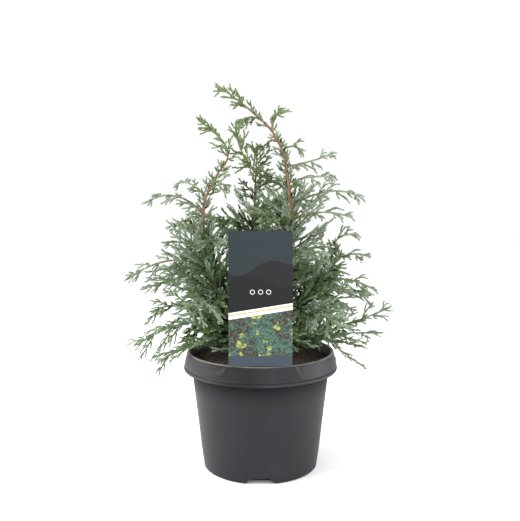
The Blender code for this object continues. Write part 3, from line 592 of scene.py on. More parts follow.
class CypressSettings(PropertyGroup):
    """All settings, piece by piece."""

    pot: PointerProperty(type=PotSettings)
    compost: PointerProperty(type=CompostSettings)
    card: PointerProperty(type=CardSettings)
    bark: PointerProperty(type=BarkSettings)
    foliage: PointerProperty(type=FoliageSettings)
    stage: PointerProperty(type=StageSettings)


# Materials


def math_node(operation, swapped=False):
    """A method of Value that adds a Math node. Swapped, the other term comes first."""

    def add(value, *others):
        terms = (*others, value) if swapped else (value, *others)
        return value.finish.node("ShaderNodeMath", {"operation": operation}, dict(enumerate(terms)))

    return add


class Value:
    """A node's output, on which Python's operators and a few names add Math nodes."""

    def __init__(self, finish, socket):
        self.finish = finish
        self.socket = socket

    __add__ = __radd__ = math_node("ADD")
    __mul__ = __rmul__ = math_node("MULTIPLY")
    __sub__ = math_node("SUBTRACT")
    __rsub__ = math_node("SUBTRACT", swapped=True)
    __truediv__ = math_node("DIVIDE")
    __pow__ = math_node("POWER")
    above = math_node("GREATER_THAN")
    below = math_node("LESS_THAN")
    wave = math_node("SINE")
    size = math_node("ABSOLUTE")

    def stretched(self, low, high):
        """0 at low, 1 at high, even between and held outside."""
        return self.finish.node("ShaderNodeMapRange", {"clamp": True}, {"Value": self, 1: low, 2: high})


class Finish:
    """One material. The node method adds any node: its settings first, then its sockets."""

    def __init__(self, name, roughness, specular=0.5):
        self.material = bpy.data.materials.new(name)
        self.material.use_nodes = True
        self.tree = self.material.node_tree
        self.shader = self.tree.nodes["Principled BSDF"]
        self.feed(self.shader.inputs["Roughness"], roughness)
        self.feed(self.shader.inputs["Specular IOR Level"], specular)
        self.place = self.node("ShaderNodeTexCoord", output="Object")

    def feed(self, socket, value):
        if isinstance(value, Value):
            self.tree.links.new(value.socket, socket)
        elif socket.type == "RGBA":
            socket.default_value = (*value, 1.0)
        else:
            socket.default_value = value

    def node(self, kind, settings=None, inputs=None, output=0):
        made = self.tree.nodes.new(kind)
        for name, value in (settings or {}).items():
            setattr(made, name, value)
        for socket, value in (inputs or {}).items():
            self.feed(made.inputs[socket], value)
        return Value(self, made.outputs[output])

    def mix(self, factor, first, second):
        """The first colour at 0 and the second at 1."""
        return self.node("ShaderNodeMix", {"data_type": "RGBA"}, {0: factor, 6: first, 7: second}, output=2)

    def along(self, axis):
        """One coordinate of the place: 0 for x, 1 for y, 2 for z."""
        return self.node("ShaderNodeSeparateXYZ", None, {0: self.place}, output=axis)

    def scaled_place(self, scale):
        return self.node("ShaderNodeMapping", None, {"Vector": self.place, "Scale": scale})

    def noise(self, size, detail=2.0, place=None):
        """Noise from 0 to 1 whose lumps are about size metres across."""
        sockets = {"Vector": place or self.place, "Scale": 1.0 / size, "Detail": detail}
        return self.node("ShaderNodeTexNoise", None, sockets)

    def colour(self, value):
        self.feed(self.shader.inputs["Base Color"], value)

    def roughness(self, value):
        self.feed(self.shader.inputs["Roughness"], value)

    def bump(self, height, distance, strength):
        sockets = {"Height": height, "Distance": distance, "Strength": strength}
        self.feed(self.shader.inputs["Normal"], self.node("ShaderNodeBump", None, sockets))


def tone(colour, factor):
    """The colour, lighter or darker by a factor."""
    return tuple(min(1.0, part * factor) for part in colour)


def plastic_finish(settings):
    """Matt moulded plastic: a fine grain, faint flow streaks down the wall and dusty patches.

    Painted shade darkens the wall under the collar and the collar behind the card. A painted highlight
    pales the lip's top, and another lightens the collar's rolled foot at the front.
    """
    finish = Finish("pot_plastic_moulded", 0.5, specular=0.2)
    height = finish.along(2)
    # Painted shade: the wall's colour darkens up to the collar's edge, under it
    under_collar = height.stretched(COLLAR_EDGE - COLLAR_SHADE_GONE, COLLAR_EDGE - COLLAR_SHADE_FULL)
    collar_shade_mask = under_collar * height.below(COLLAR_EDGE)
    grain = finish.noise(0.45 * MM, detail=3.0)
    flow = finish.noise(9.0 * MM, place=finish.scaled_place((1.0, 1.0, 0.12)))
    dust = finish.noise(26.0 * MM, detail=5.0)
    worn = finish.mix(dust.stretched(0.52, 0.8), settings.plastic, tone(settings.plastic, 1.32))
    streaked = finish.mix(flow.stretched(0.35, 0.75) * 0.3, worn, tone(settings.plastic, 0.8))
    collar_shaded = finish.mix(collar_shade_mask ** 1.4, streaked, tone(settings.plastic, 0.03))
    # Painted highlight: a pale line along the lip's top, broken by the dust noise
    highlit = height.above(POT_HEIGHT - LIP_HIGHLIGHT_DEPTH) * dust.stretched(0.2, 0.5) * 0.8
    across = finish.along(0)
    collar_front = height.above(COLLAR_EDGE) * finish.along(1).below(0.0)
    # Painted shadow of the card: the collar's front darkens behind it
    behind_card = across.stretched(*CARD_SHADE_LEFT) * across.stretched(*CARD_SHADE_RIGHT)
    card_shade = behind_card * collar_front
    shaded = finish.mix(card_shade * 0.55, collar_shaded, tone(settings.plastic, 0.3))
    # Painted highlight: the collar's rolled foot lightens at the front, outside the card's painted shadow
    rolled_foot = height.stretched(COLLAR_EDGE + ROLL_LIT[0], COLLAR_EDGE + ROLL_LIT[1])
    roll = rolled_foot * collar_front * (1.0 - card_shade)
    rolled = finish.mix(roll * 0.7, shaded, tone(settings.plastic, 2.4))
    finish.colour(finish.mix(highlit, rolled, settings.lip_highlight))
    finish.roughness(0.4 + 0.1 * dust + 0.05 * grain + 0.3 * collar_shade_mask)
    finish.bump(grain + 0.5 * flow, 0.05 * MM, 0.35)
    return finish.material


def compost_finish(name, dark, light):
    """Damp granular matter: dark with lighter flecks, glossy only where it is wet."""
    finish = Finish(name, 0.9, specular=0.25)
    flecks = finish.noise(1.1 * MM, detail=4.0)
    patches = finish.noise(7.0 * MM, detail=3.0)
    base = finish.mix(patches.stretched(0.35, 0.7), dark, tone(dark, 1.9))
    finish.colour(finish.mix(flecks.stretched(0.6, 0.78), base, light))
    finish.roughness(0.95 - 0.35 * patches.stretched(0.55, 0.75))
    finish.bump(flecks, 0.4 * MM, 0.8)
    return finish.material


def bark_finish(name, bark, furrow, young=None):
    """Stringy red-brown bark: streaks that run along the stems, dark in the furrows.

    Where a young colour is given, the bark turns to it on the right-hand stem, by its place across.
    """
    finish = Finish(name, 0.8, specular=0.3)
    streaks = finish.noise(0.9 * MM, detail=4.0, place=finish.scaled_place((1.0, 1.0, 0.16)))
    patches = finish.noise(9.0 * MM, detail=3.0)
    lit = finish.mix(patches.stretched(0.4, 0.75), bark, tone(bark, 1.35))
    bare = finish.mix(streaks.stretched(0.62, 0.4), lit, furrow)
    if young:
        green = finish.mix(streaks, tone(young, 1.6), young)
        bare = finish.mix(finish.along(0).stretched(*YOUNG_BARK_FROM), bare, green)
    finish.colour(bare)
    finish.roughness(0.7 + 0.25 * streaks)
    finish.bump(streaks, 0.25 * MM, 0.7)
    return finish.material


def leaf_finish(name, colour):
    """Waxy leaf: its plain tint with a fine bloom, a little duller in places."""
    finish = Finish(name, 0.6, specular=0.15)
    bloom = finish.noise(1.6 * MM, detail=2.0)
    finish.colour(finish.mix(bloom.stretched(0.3, 0.7), tone(colour, 0.7), tone(colour, 1.3)))
    finish.roughness(0.5 + 0.2 * bloom)
    return finish.material


def hill_line(across, height, *waves):
    """Height of a row of hills, millimetres up: the mean, and a sine wave for each row of numbers."""
    return sum(((across * turns + start).wave() * rise for turns, start, rise in waves), height)


def card_finish(settings):
    """The card's print, in millimetres across and up the board, on the side that faces the front.

    From the top down: slate with rolling hills and three small rings, a slanting pale band with a
    warm line, overlapping leaf shapes, and a plain strip. The back and the stake are plain slate.
    """
    finish = Finish("card_printed", 0.42, specular=0.2)
    across = finish.along(0) / MM
    depth = finish.along(1) / MM
    up = (finish.along(2) - CARD_FOOT) / MM

    far_hills = hill_line(across, *FAR_HILLS).above(up)
    near_hills = hill_line(across, *NEAR_HILLS).above(up)
    ground = finish.mix(far_hills, settings.slate, tone(settings.hills, 1.7))
    ground = finish.mix(near_hills, ground, settings.hills)
    for ring in (-1, 0, 1):
        sideways = across - RINGS_APART * ring
        upwards = up - RINGS_UP
        distance = (sideways * sideways + upwards * upwards) ** 0.5
        rim = (distance - RING_RADIUS).size().below(RING_HALF_WIDTH)
        ground = finish.mix(rim * 0.8, ground, settings.band)

    cells = finish.node(
        "ShaderNodeTexVoronoi", {"feature": "F1"}, {"Vector": finish.place, "Scale": 1.0 / (2.6 * MM)}
    )
    veins = finish.noise(0.8 * MM, detail=3.0)
    beds = finish.noise(16.0 * MM, detail=2.0)
    young = finish.noise(15.0 * MM, detail=2.0, place=finish.scaled_place((1.0, 1.0, 1.3)))
    leafy = finish.mix(cells.stretched(0.15, 0.75), tone(settings.leafy, 1.8), tone(settings.leafy, 0.25))
    leafy = finish.mix(veins.stretched(0.45, 0.75), leafy, tone(settings.leafy, 2.5))
    leafy = finish.mix(beds.stretched(0.5, 0.58) * cells.stretched(0.1, 0.6), leafy, settings.soil)
    leafy = finish.mix(young.stretched(0.6, 0.64) * (1 - cells), leafy, settings.young_leaf)
    slant = up - across * BAND_SLANT
    print_colour = finish.mix(slant.below(BAND_TOP), ground, settings.band)
    print_colour = finish.mix(slant.below(LINE_TOP), print_colour, settings.line)
    print_colour = finish.mix(slant.below(LINE_FOOT), print_colour, settings.band)
    print_colour = finish.mix(slant.below(BAND_FOOT), print_colour, leafy)
    print_colour = finish.mix(up.below(STRIP_TOP), print_colour, settings.strip)

    front = depth.below((CARD_LOW[1] + 0.4 * CARD_THICKNESS) / MM)
    plain = tone(settings.slate, 1.3)
    finish.colour(finish.mix(front, plain, print_colour))
    finish.roughness(0.38 + 0.16 * finish.noise(14.0 * MM))
    finish.bump(finish.noise(0.3 * MM), 0.01 * MM, 0.3)
    return finish.material


# Meshes from arrays


def new_piece(name, points, faces, material, slot, nodes, smooth=True):
    """Puts arrays into a mesh whose object sits at the origin, and hides the imported parts that it stands
    for.

    points holds the corners, and faces one array of corner numbers for each count of corners.
    """
    mesh = bpy.data.meshes.new(name)
    points = np.asarray(points, np.float32).reshape(-1, 3)
    mesh.vertices.add(len(points))
    mesh.vertices.foreach_set("co", points.ravel())
    loops = np.concatenate([rows.ravel() for rows in faces]).astype(np.int32)
    mesh.loops.add(len(loops))
    mesh.loops.foreach_set("vertex_index", loops)
    corner_counts = np.concatenate([np.full(len(rows), rows.shape[1]) for rows in faces])
    starts = np.concatenate(([0], np.cumsum(corner_counts)[:-1])).astype(np.int32)
    mesh.polygons.add(len(corner_counts))
    mesh.polygons.foreach_set("loop_start", starts)
    mesh.polygons.foreach_set("use_smooth", np.full(len(corner_counts), smooth))
    mesh.update(calc_edges=True)
    mesh.materials.append(material)
    piece = bpy.data.objects.new(name, mesh)
    bpy.context.scene.collection.objects.link(piece)
    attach(piece, "root")
    if len(nodes):
        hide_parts(*nodes)
    return piece


def unit(vectors):
    return vectors / np.linalg.norm(vectors, axis=-1, keepdims=True)


def square_to(vectors, courses):
    """The vectors without their part along the courses, as unit vectors."""
    return unit(vectors - (vectors * courses).sum(axis=-1, keepdims=True) * courses)


# A common formula's numbers, which turn a corner into a value between 0 and 1
HASH_TURNS = np.array((12.9898, 78.233, 37.719))
HASH_STRETCH = 43758.5453


def lattice_noise(points, size, seed):
    """Smooth noise from -1 to 1: hashed values at a lattice's corners, blended by 3t² - 2t³."""
    cells = np.asarray(points) / size
    whole = np.floor(cells)
    part = cells - whole
    blend = part * part * (3.0 - 2.0 * part)
    total = 0.0
    for corner in range(8):
        step = np.array((corner & 1, corner >> 1 & 1, corner >> 2 & 1), float)
        weight = np.prod(step * blend + (1.0 - step) * (1.0 - blend), axis=-1)
        hashed = np.sin((whole + step) @ HASH_TURNS + seed) * HASH_STRETCH
        total = total + weight * (hashed - np.floor(hashed))
    return 2.0 * total - 1.0


def smooth_step(value, low, high):
    """0 at low, 1 at high, and 3t² - 2t³ between."""
    t = np.clip((value - low) / (high - low), 0.0, 1.0)
    return t * t * (3.0 - 2.0 * t)


def rounded_profile(corners):
    """A profile of (radius, height) points: straight stretches, with each corner drawn as a curve.

    Each row is a corner's radius and height, how far from it the curve starts, and the longest step
    on the stretch that follows. The curve is quadratic, drawn towards the corner.
    """
    places = np.array([row[:2] for row in corners])
    drawn = [places[0]]
    t = np.linspace(0.0, 1.0, 5)[:, None]
    for index in range(1, len(corners)):
        before = drawn[-1]
        corner, fillet = places[index], corners[index][2]
        entry = corner + unit(before - corner) * fillet
        count = max(1, ceil(np.linalg.norm(entry - before) / corners[index - 1][3]))
        drawn += list(before + (entry - before) * np.linspace(0.0, 1.0, count + 1)[1:, None])
        if index + 1 < len(corners) and fillet:
            leave = corner + unit(places[index + 1] - corner) * fillet
            curve = (1 - t) ** 2 * entry + 2 * t * (1 - t) * corner + t**2 * leave
            drawn += list(curve[1:])
    return np.array(drawn)


def closed_turn(profile, sides):
    """Corners of a profile carried round Z, by (r cos a, r sin a, z), as an array of rings."""
    angles = np.linspace(0.0, tau, sides, endpoint=False)
    rings = np.empty((len(profile), sides, 3))
    rings[..., 0] = profile[:, :1] * np.cos(angles)
    rings[..., 1] = profile[:, :1] * np.sin(angles)
    rings[..., 2] = profile[:, 1:]
    return rings, angles


def ring_faces(ring_count, sides, first=0):
    """Quads between rings of corners, each ring closed on itself."""
    ring, side = np.meshgrid(np.arange(ring_count - 1), np.arange(sides), indexing="ij")
    following = (side + 1) % sides
    corners = (ring * sides + side, (ring + 1) * sides + side, (ring + 1) * sides + following,
               ring * sides + following)
    return first + np.stack(corners, axis=-1).reshape(-1, 4)


def with_poles(rings, start, end):
    """Rings closed by a corner at either end: their points, and their faces as quads and triangles."""
    count, sides = rings.shape[:2]
    points = np.concatenate((rings.reshape(-1, 3), [start, end]))
    side = np.arange(sides)
    following = (side + 1) % sides
    last = (count - 1) * sides
    first_fan = np.stack((np.full(sides, count * sides), side, following), axis=1)
    last_fan = np.stack((last + side, np.full(sides, count * sides + 1), last + following), axis=1)
    return points, [ring_faces(count, sides), np.concatenate((first_fan, last_fan))]


# The pot


def wall_radius(height):
    """The pot's outer wall, which tapers evenly from the collar's edge to the foot."""
    return WALL_FOOT_RADIUS + (height / COLLAR_EDGE) * WALL_WIDENING


def panel_distance(angles, heights):
    """Distance from the edge of the nearer of the two side panels of the collar, below 0 inside it.

    A panel is a rectangle with round corners, in arc length round the collar and height.
    """
    from_side = np.arccos(np.abs(np.cos(angles)))
    half_width = radians(90.0 - FRONT_ZONE) * BAND_RADIUS - PANEL_CORNER
    half_height = (PANEL_TOP - PANEL_FOOT) / 2 - PANEL_CORNER
    sideways = from_side * BAND_RADIUS - half_width
    upwards = np.abs(heights - (PANEL_TOP + PANEL_FOOT) / 2) - half_height
    outside = np.hypot(np.maximum(sideways, 0.0), np.maximum(upwards, 0.0))
    return outside + np.minimum(np.maximum(sideways, upwards), 0.0) - PANEL_CORNER


def collar_relief(angles, heights, settings):
    """How far the collar's skin stands out: between its panels, along the line round them, on two lugs."""
    distance = panel_distance(angles, heights)
    fade = 1.0 - smooth_step(heights, PANEL_FADE - PANEL_FADE_LENGTH, PANEL_FADE)
    near_front = 1.0 - smooth_step(np.abs(np.cos(angles)), PANEL_SEEN, PANEL_LOST)
    recess = settings.panel_recess * (1.0 - smooth_step(distance, *RECESS_EDGE))
    ridge = settings.panel_ridge * np.exp(-((distance / RIDGE_SPREAD) ** 2))
    relief = (ridge - recess) * fade * near_front
    for lug_angle, lug_place in LUGS:
        turn = (angles - radians(lug_angle) + pi) % tau - pi
        sideways = turn * BAND_RADIUS / LUG_SPREAD[0]
        upwards = (heights - lug_place) / LUG_SPREAD[1]
        relief = relief + settings.lug_height * np.exp(-(sideways**2 + upwards**2))
    return relief


def notch_rise(angles, radius):
    """Height of the foot's lower edge: 0, rising to the notch height in each of the notches."""
    spacing = tau / NOTCH_COUNT
    turn = (angles + spacing / 2) % spacing - spacing / 2
    across = np.abs(turn) * radius
    return NOTCH_HEIGHT * (1.0 - smooth_step(across, NOTCH_TOP_WIDTH / 2, NOTCH_FOOT_WIDTH / 2))


def pot_rings(settings):
    """The pot's skin: its profile turned round Z, with the collar's relief and the foot's notches.

    Up to the wall's foot, heights z under the fade become n + z (1 - n / fade), where n is the
    height of the notch at that angle, so that the skin closes up over each notch.
    """
    inside = rounded_profile((
        (INNERMOST, FLOOR_THICKNESS, 0.0, 20.0 * MM),
        (FLOOR_RADIUS, FLOOR_THICKNESS, 1.0 * MM, 5.0 * MM),
        (FLOOR_RADIUS + 2.0 * MM, FOOT_STEP, 1.0 * MM, 5.0 * MM),
        (wall_radius(FOOT_STEP) - WALL_THICKNESS, FOOT_STEP, 1.0 * MM, 12.0 * MM),
        (wall_radius(GROOVE_TOP) - WALL_THICKNESS, GROOVE_TOP, 1.0 * MM, 2.0 * MM),
        (LIP_RADIUS, POT_HEIGHT, 0.5 * MM, COLLAR_STEP),
        (LIP_RADIUS + LIP_FLAT, POT_HEIGHT, 0.0, COLLAR_STEP),
    ))
    collar = rounded_profile((
        (LIP_RADIUS + LIP_FLAT, POT_HEIGHT, 0.0, COLLAR_STEP),
        (LIP_RADIUS + LIP_WIDTH, POT_HEIGHT - 0.4 * MM, 0.7 * MM, COLLAR_STEP),
        (COLLAR_RADIUS - 1.2 * MM, COLLAR_BULGE, 6.0 * MM, COLLAR_STEP),
        (COLLAR_RADIUS, COLLAR_EDGE + 2.5 * MM, 1.5 * MM, 0.6 * MM),
        (COLLAR_RADIUS - 0.3 * MM, COLLAR_EDGE, 1.2 * MM, 0.5 * MM),
        (COLLAR_RADIUS - EDGE_WIDTH, COLLAR_EDGE - 0.1 * MM, 0.0, 0.5 * MM),
    ))[1:]
    wall = rounded_profile((
        (COLLAR_RADIUS - EDGE_WIDTH, COLLAR_EDGE - 0.1 * MM, 0.0, 4.0 * MM),
        (GROOVE_RADIUS, GROOVE_TOP, 0.8 * MM, 1.0 * MM),
        (wall_radius(GROOVE_TOP), GROOVE_TOP, 0.8 * MM, 8.0 * MM),
        (wall_radius(NOTCH_FADE), NOTCH_FADE, 0.0, 1.6 * MM),
        (wall_radius(0.0), 0.0, 2.6 * MM, 0.6 * MM),
        (NOTCH_END, 0.0, 0.0, 2.0 * MM),
    ))[1:]
    floor = np.array(((NOTCH_END - 2.0 * MM, 0.0), (30.0 * MM, 0.0), (INNERMOST, 0.0)))
    profile = np.concatenate((inside, collar, wall, floor))
    rings, angles = closed_turn(profile, POT_SIDES)
    on_collar = slice(len(inside), len(inside) + len(collar))
    heights = rings[on_collar, :, 2]
    radius = np.hypot(rings[on_collar, :, 0], rings[on_collar, :, 1])
    out = 1.0 + collar_relief(angles[None, :], heights, settings) / radius
    rings[on_collar, :, :2] *= out[..., None]
    on_wall = slice(len(inside) + len(collar), len(profile) - len(floor))
    heights = rings[on_wall, :, 2]
    rise = notch_rise(angles, FOOT_RADIUS)[None, :]
    lifted = rise + heights * (1.0 - rise / NOTCH_FADE)
    rings[on_wall, :, 2] = np.where(heights < NOTCH_FADE, lifted, heights)
    return rings


def build_pot(settings):
    rings = pot_rings(settings)
    points, faces = with_poles(rings, (0.0, 0.0, FLOOR_THICKNESS), (0.0, 0.0, 0.0))
    return new_piece("pot_body", points, faces, plastic_finish(settings), "pot_plastic", ["pot"])


# The compost


def compost_top(x, y, roughening):
    """Height of the compost's surface: a low dome, with lumps of three sizes that fade at its edge."""
    radius = np.hypot(x, y)
    edge = wall_radius(COMPOST_EDGE) - WALL_THICKNESS - LUMPS_END
    dome = COMPOST_MIDDLE - (COMPOST_MIDDLE - COMPOST_EDGE) * smooth_step(
        radius, COMPOST_FLAT, edge - COMPOST_SHOULDER
    )
    flat = np.stack((x, y, np.zeros_like(x)), axis=-1)
    lumps = sum(share * lattice_noise(flat, width, seed) for share, width, seed in LUMPS)
    return dome + roughening * lumps * (1.0 - smooth_step(radius, edge - LUMPS_FADE, edge))


def compost_body(settings):
    """The filling: its lumpy top, then straight down inside the pot's wall to the floor."""
    edge = wall_radius(COMPOST_EDGE) - WALL_THICKNESS - COMPOST_GAP
    foot = wall_radius(FOOT_STEP) - WALL_THICKNESS - COMPOST_GAP
    top = rounded_profile((
        (INNERMOST, COMPOST_EDGE, 0.0, 1.5 * MM),
        (edge, COMPOST_EDGE, 0.0, 1.5 * MM),
    ))
    below = np.array((
        (edge - 0.2 * MM, COMPOST_EDGE - 3.0 * MM),
        (foot, FOOT_STEP + 0.4 * MM),
        (FLOOR_RADIUS - COMPOST_GAP, FOOT_STEP + 0.4 * MM),
        (FLOOR_RADIUS - 2.4 * MM, FLOOR_THICKNESS + 0.4 * MM),
        (INNERMOST, FLOOR_THICKNESS + 0.4 * MM),
    ))
    rings, _ = closed_turn(np.concatenate((top, below)), COMPOST_SIDES)
    surface = rings[: len(top)]
    surface[..., 2] = compost_top(surface[..., 0], surface[..., 1], settings.roughening)
    middle = compost_top(np.zeros(1), np.zeros(1), settings.roughening)[0]
    return with_poles(rings, (0.0, 0.0, middle), (0.0, 0.0, FLOOR_THICKNESS + 0.4 * MM))


def icosahedron():
    """Twelve corners, at (0, ±1, ±g) and its two turns where g is the golden ratio, and twenty faces.

    A face is any three corners that lie closer than 1.2 to each other, on a ball with a radius of 1.
    """
    g = (1.0 + sqrt(5.0)) / 2.0
    turned = product(range(3), (-1, 1), (-g, g))
    corners = unit(np.array([np.roll((0.0, a, b), turn) for turn, a, b in turned]))
    faces = []
    for a, b, c in combinations(range(12), 3):
        first, second = corners[b] - corners[a], corners[c] - corners[a]
        if max(np.linalg.norm(side) for side in (first, second, second - first)) < 1.2:
            outward = np.cross(first, second) @ corners[a] > 0
            faces.append((a, b, c) if outward else (a, c, b))
    return corners, np.array(faces)


def random_turns(rng, count):
    """Rotation matrices from unit quaternions drawn evenly."""
    w, x, y, z = unit(rng.normal(size=(count, 4))).T
    rows = (
        (1 - 2 * (y * y + z * z), 2 * (x * y - z * w), 2 * (x * z + y * w)),
        (2 * (x * y + z * w), 1 - 2 * (x * x + z * z), 2 * (y * z - x * w)),
        (2 * (x * z - y * w), 2 * (y * z + x * w), 1 - 2 * (x * x + y * y)),
    )
    return np.stack([np.stack(row, axis=-1) for row in rows], axis=-2)


def crumb_meshes(settings, count, longest, seed):
    """Loose crumbs: squashed, dented twenty-sided lumps, half sunk in the surface."""
    rng = np.random.default_rng(seed)
    corners, faces = icosahedron()
    room = wall_radius(COMPOST_EDGE) - WALL_THICKNESS - longest
    radius = room * np.sqrt(rng.random(count))
    angle = rng.random(count) * tau
    x, y = radius * np.cos(angle), radius * np.sin(angle)
    size = longest * (SMALLEST_CRUMB + (1.0 - SMALLEST_CRUMB) * rng.random(count) ** 3) / 2.0
    z = compost_top(x, y, settings.roughening) + CRUMB_RAISED * size
    shape = size[:, None, None] * (0.55 + 0.45 * rng.random((count, 1, 3)))
    lumps = corners[None] * shape * (0.75 + 0.4 * rng.random((count, 12, 1)))
    lumps = np.einsum("nij,nkj->nki", random_turns(rng, count), lumps)
    points = lumps + np.stack((x, y, z), axis=-1)[:, None, :]
    rows = (faces[None] + 12 * np.arange(count)[:, None, None]).reshape(-1, 3)
    return points, [rows]


def build_compost(settings):
    points, faces = compost_body(settings)
    earth = compost_finish("compost_earth", settings.earth, tone(settings.bark_chip, 0.6))
    chips = compost_finish("compost_bark_chips", settings.bark_chip, tone(settings.bark_chip, 2.2))
    new_piece("compost_filling", points, faces, earth, "compost", ["compost"])
    points, faces = crumb_meshes(settings, settings.crumbs, CRUMB_LONGEST, CRUMB_SEED)
    new_piece("compost_crumbs", points, faces, earth, "compost", [], smooth=False)
    points, faces = crumb_meshes(settings, settings.crumbs // CRUMBS_TO_A_CHIP, CHIP_LONGEST, CHIP_SEED)
    new_piece("compost_chips", points, faces, chips, "compost", [], smooth=False)


# The care card


def board_outline(low, high, corner):
    """A rectangle's corner points, each corner a quarter circle, counter-clockwise from above right."""
    turns = np.linspace(0.0, pi / 2, 8)
    drawn = []
    for quarter, (side, up) in enumerate(((1, 1), (-1, 1), (-1, -1), (1, -1))):
        centre = ((high[0] if side > 0 else low[0]) - side * corner,
                  (high[1] if up > 0 else low[1]) - up * corner)
        angles = turns + quarter * pi / 2
        drawn.append(centre + corner * np.stack((np.cos(angles), np.sin(angles)), axis=1))
    return np.concatenate(drawn)


def card_board():
    """A flat board with round corners: rings of its outline, drawn in a little at both faces."""
    front, back = CARD_LOW[1], CARD_LOW[1] + CARD_THICKNESS
    rings = []
    for y, drawn_in in (
        (front, CARD_EDGE),
        (front + CARD_EDGE, 0.0),
        (back - CARD_EDGE, 0.0),
        (back, CARD_EDGE),
    ):
        low = (CARD_LOW[0] + drawn_in, CARD_FOOT + drawn_in)
        high = (CARD_HIGH[0] - drawn_in, CARD_HIGH[2] - drawn_in)
        outline = board_outline(low, high, CARD_CORNER - drawn_in)
        rings.append(np.stack((outline[:, 0], np.full(len(outline), y), outline[:, 1]), axis=1))
    rings = np.array(rings)
    count, sides = rings.shape[:2]
    front_face = np.arange(sides)[None, :]
    back_face = (count - 1) * sides + np.arange(sides)[None, ::-1]
    return rings, [ring_faces(count, sides)[:, ::-1], front_face, back_face]


def card_stake():
    """A strap over the lip and down into the compost: a flat section carried along a bent path."""
    half = CARD_THICKNESS / 2
    front, back = CARD_LOW[1] + CARD_THICKNESS, CARD_LOW[1] + STAKE_SETBACK - half
    path = rounded_profile((
        (front - half, CARD_FOOT + 3.0 * MM, 0.0, 2.0 * MM),
        (front - half + 0.1 * MM, CARD_FOOT + 1.0 * MM, 0.5 * MM, 1.0 * MM),
        (back, CARD_FOOT + STRAP_RISE, 1.6 * MM, 1.5 * MM),
        (back, CARD_LOW[2] + 12.0 * MM, 0.0, 6.0 * MM),
        (back, CARD_LOW[2] + half, 0.0, 2.0 * MM),
    ))
    course = unit(np.gradient(path, axis=0))
    square = np.stack((-course[:, 1], course[:, 0]), axis=1)
    width = np.full(len(path), STAKE_WIDTH / 2)
    full = smooth_step(path[:, 1], CARD_LOW[2], CARD_LOW[2] + STAKE_POINT)
    pointed = width * (STAKE_POINT_WIDTH + (1.0 - STAKE_POINT_WIDTH) * full)
    width = np.where(path[:, 0] > back - half, pointed, width)
    rings = []
    for sideways, thick in ((-1, -1), (1, -1), (1, 1), (-1, 1)):
        place = path + square * half * thick * 0.98
        rings.append(np.stack((sideways * width, place[:, 0], place[:, 1]), axis=1))
    rings = np.stack(rings, axis=1)
    count = len(rings)
    start = np.array([[3, 2, 1, 0]])
    end = np.array([[0, 1, 2, 3]]) + (count - 1) * 4
    return rings, [ring_faces(count, 4)[:, ::-1], start[:, ::-1], end[:, ::-1]]


def build_card(settings):
    finish = card_finish(settings)
    points, faces = card_board()
    new_piece("card_board", points, faces, finish, "card_print", ["care_card"], smooth=False)
    points, faces = card_stake()
    new_piece("card_stake", points, faces, finish, "card_print", ["care_card"], smooth=False)


# Paths and limbs, by the source's rule


@dataclass
class Limb:
    """A round woody piece: its axis from foot to tip, and its radius at both."""

    axis: np.ndarray
    foot_radius: float
    tip_radius: float

    def radius_at(self, share):
        return self.foot_radius + (self.tip_radius - self.foot_radius) * share


@dataclass
class Spray:
    """A mass of foliage: its twig's axis, where that leaves its carrier, its facing and longest shoot."""

    name: str
    axis: np.ndarray
    root: np.ndarray
    facing: np.ndarray
    longest: float
    seed: int


def lengths_along(path):
    steps = np.linalg.norm(np.diff(path, axis=0), axis=1)
    return np.concatenate(([0.0], np.cumsum(steps)))


def places_at(wanted, along, path):
    """The path's places, or vectors that go with them, where wanted along it."""
    return np.stack([np.interp(wanted, along, path[:, axis]) for axis in range(3)], axis=1)


def share_of(path, first, last, count):
    """The stretch of a path between two shares of its length, as evenly spaced points."""
    along = lengths_along(path)
    return places_at(np.linspace(first, last, count) * along[-1], along, path)


def even_points(path, count):
    return share_of(path, 0.0, 1.0, count)


def curve_through(places, fineness=16):
    """A Catmull-Rom curve through the places, as evenly spaced points."""
    places = np.asarray(places, float)
    padded = np.vstack((2 * places[0] - places[1], places, 2 * places[-1] - places[-2]))
    t = np.linspace(0.0, 1.0, fineness, endpoint=False)[:, None]
    stretches = []
    for a, b, c, d in zip(padded, padded[1:], padded[2:], padded[3:]):
        cubic = 3 * b - 3 * c + d - a
        square = 2 * a - 5 * b + 4 * c - d
        stretches.append(0.5 * (2 * b + (c - a) * t + square * t**2 + cubic * t**3))
    path = np.vstack((*stretches, places[-1:]))
    return even_points(path, len(path))


def bent_path(start, bend, end, count=48):
    """A quadratic curve from start to end, drawn towards bend."""
    t = np.linspace(0.0, 1.0, count)[:, None]
    path = (1 - t) ** 2 * start + 2 * t * (1 - t) * bend + t**2 * end
    return even_points(path, count)


def place_at_height(limb, height):
    """The axis point of a limb at a height, its direction there and its radius."""
    index = int(np.argmax(limb.axis[:, 2] >= height))
    index = max(1, min(index, len(limb.axis) - 2))
    direction = unit(limb.axis[index + 1] - limb.axis[index - 1])
    share = lengths_along(limb.axis)[index] / lengths_along(limb.axis)[-1]
    return limb.axis[index], direction, limb.radius_at(share)


def bark_plane(limb, height, heading):
    """A plane that touches a limb's bark, square to the side that heading leaves from."""
    place, direction, radius = place_at_height(limb, height)
    outward = square_to(heading, direction)
    return place + outward * radius, outward


def started_at_plane(path, place, towards):
    """The path from where it passes the plane."""
    beyond = (path - place) @ towards
    index = int(np.argmax(beyond > 0))
    before, after = beyond[index - 1], beyond[index]
    crossing = path[index - 1] + (path[index] - path[index - 1]) * (-before / (after - before))
    return np.vstack((crossing, path[index:]))


def crown_radius(height):
    """The crown's outline: widest a little above the rim, closing in above and below."""
    reach = CROWN_ABOVE if height > CROWN_WIDEST else CROWN_BELOW
    return CROWN_RADIUS * max(0.1, 1.0 - ((height - CROWN_WIDEST) / reach) ** 2)


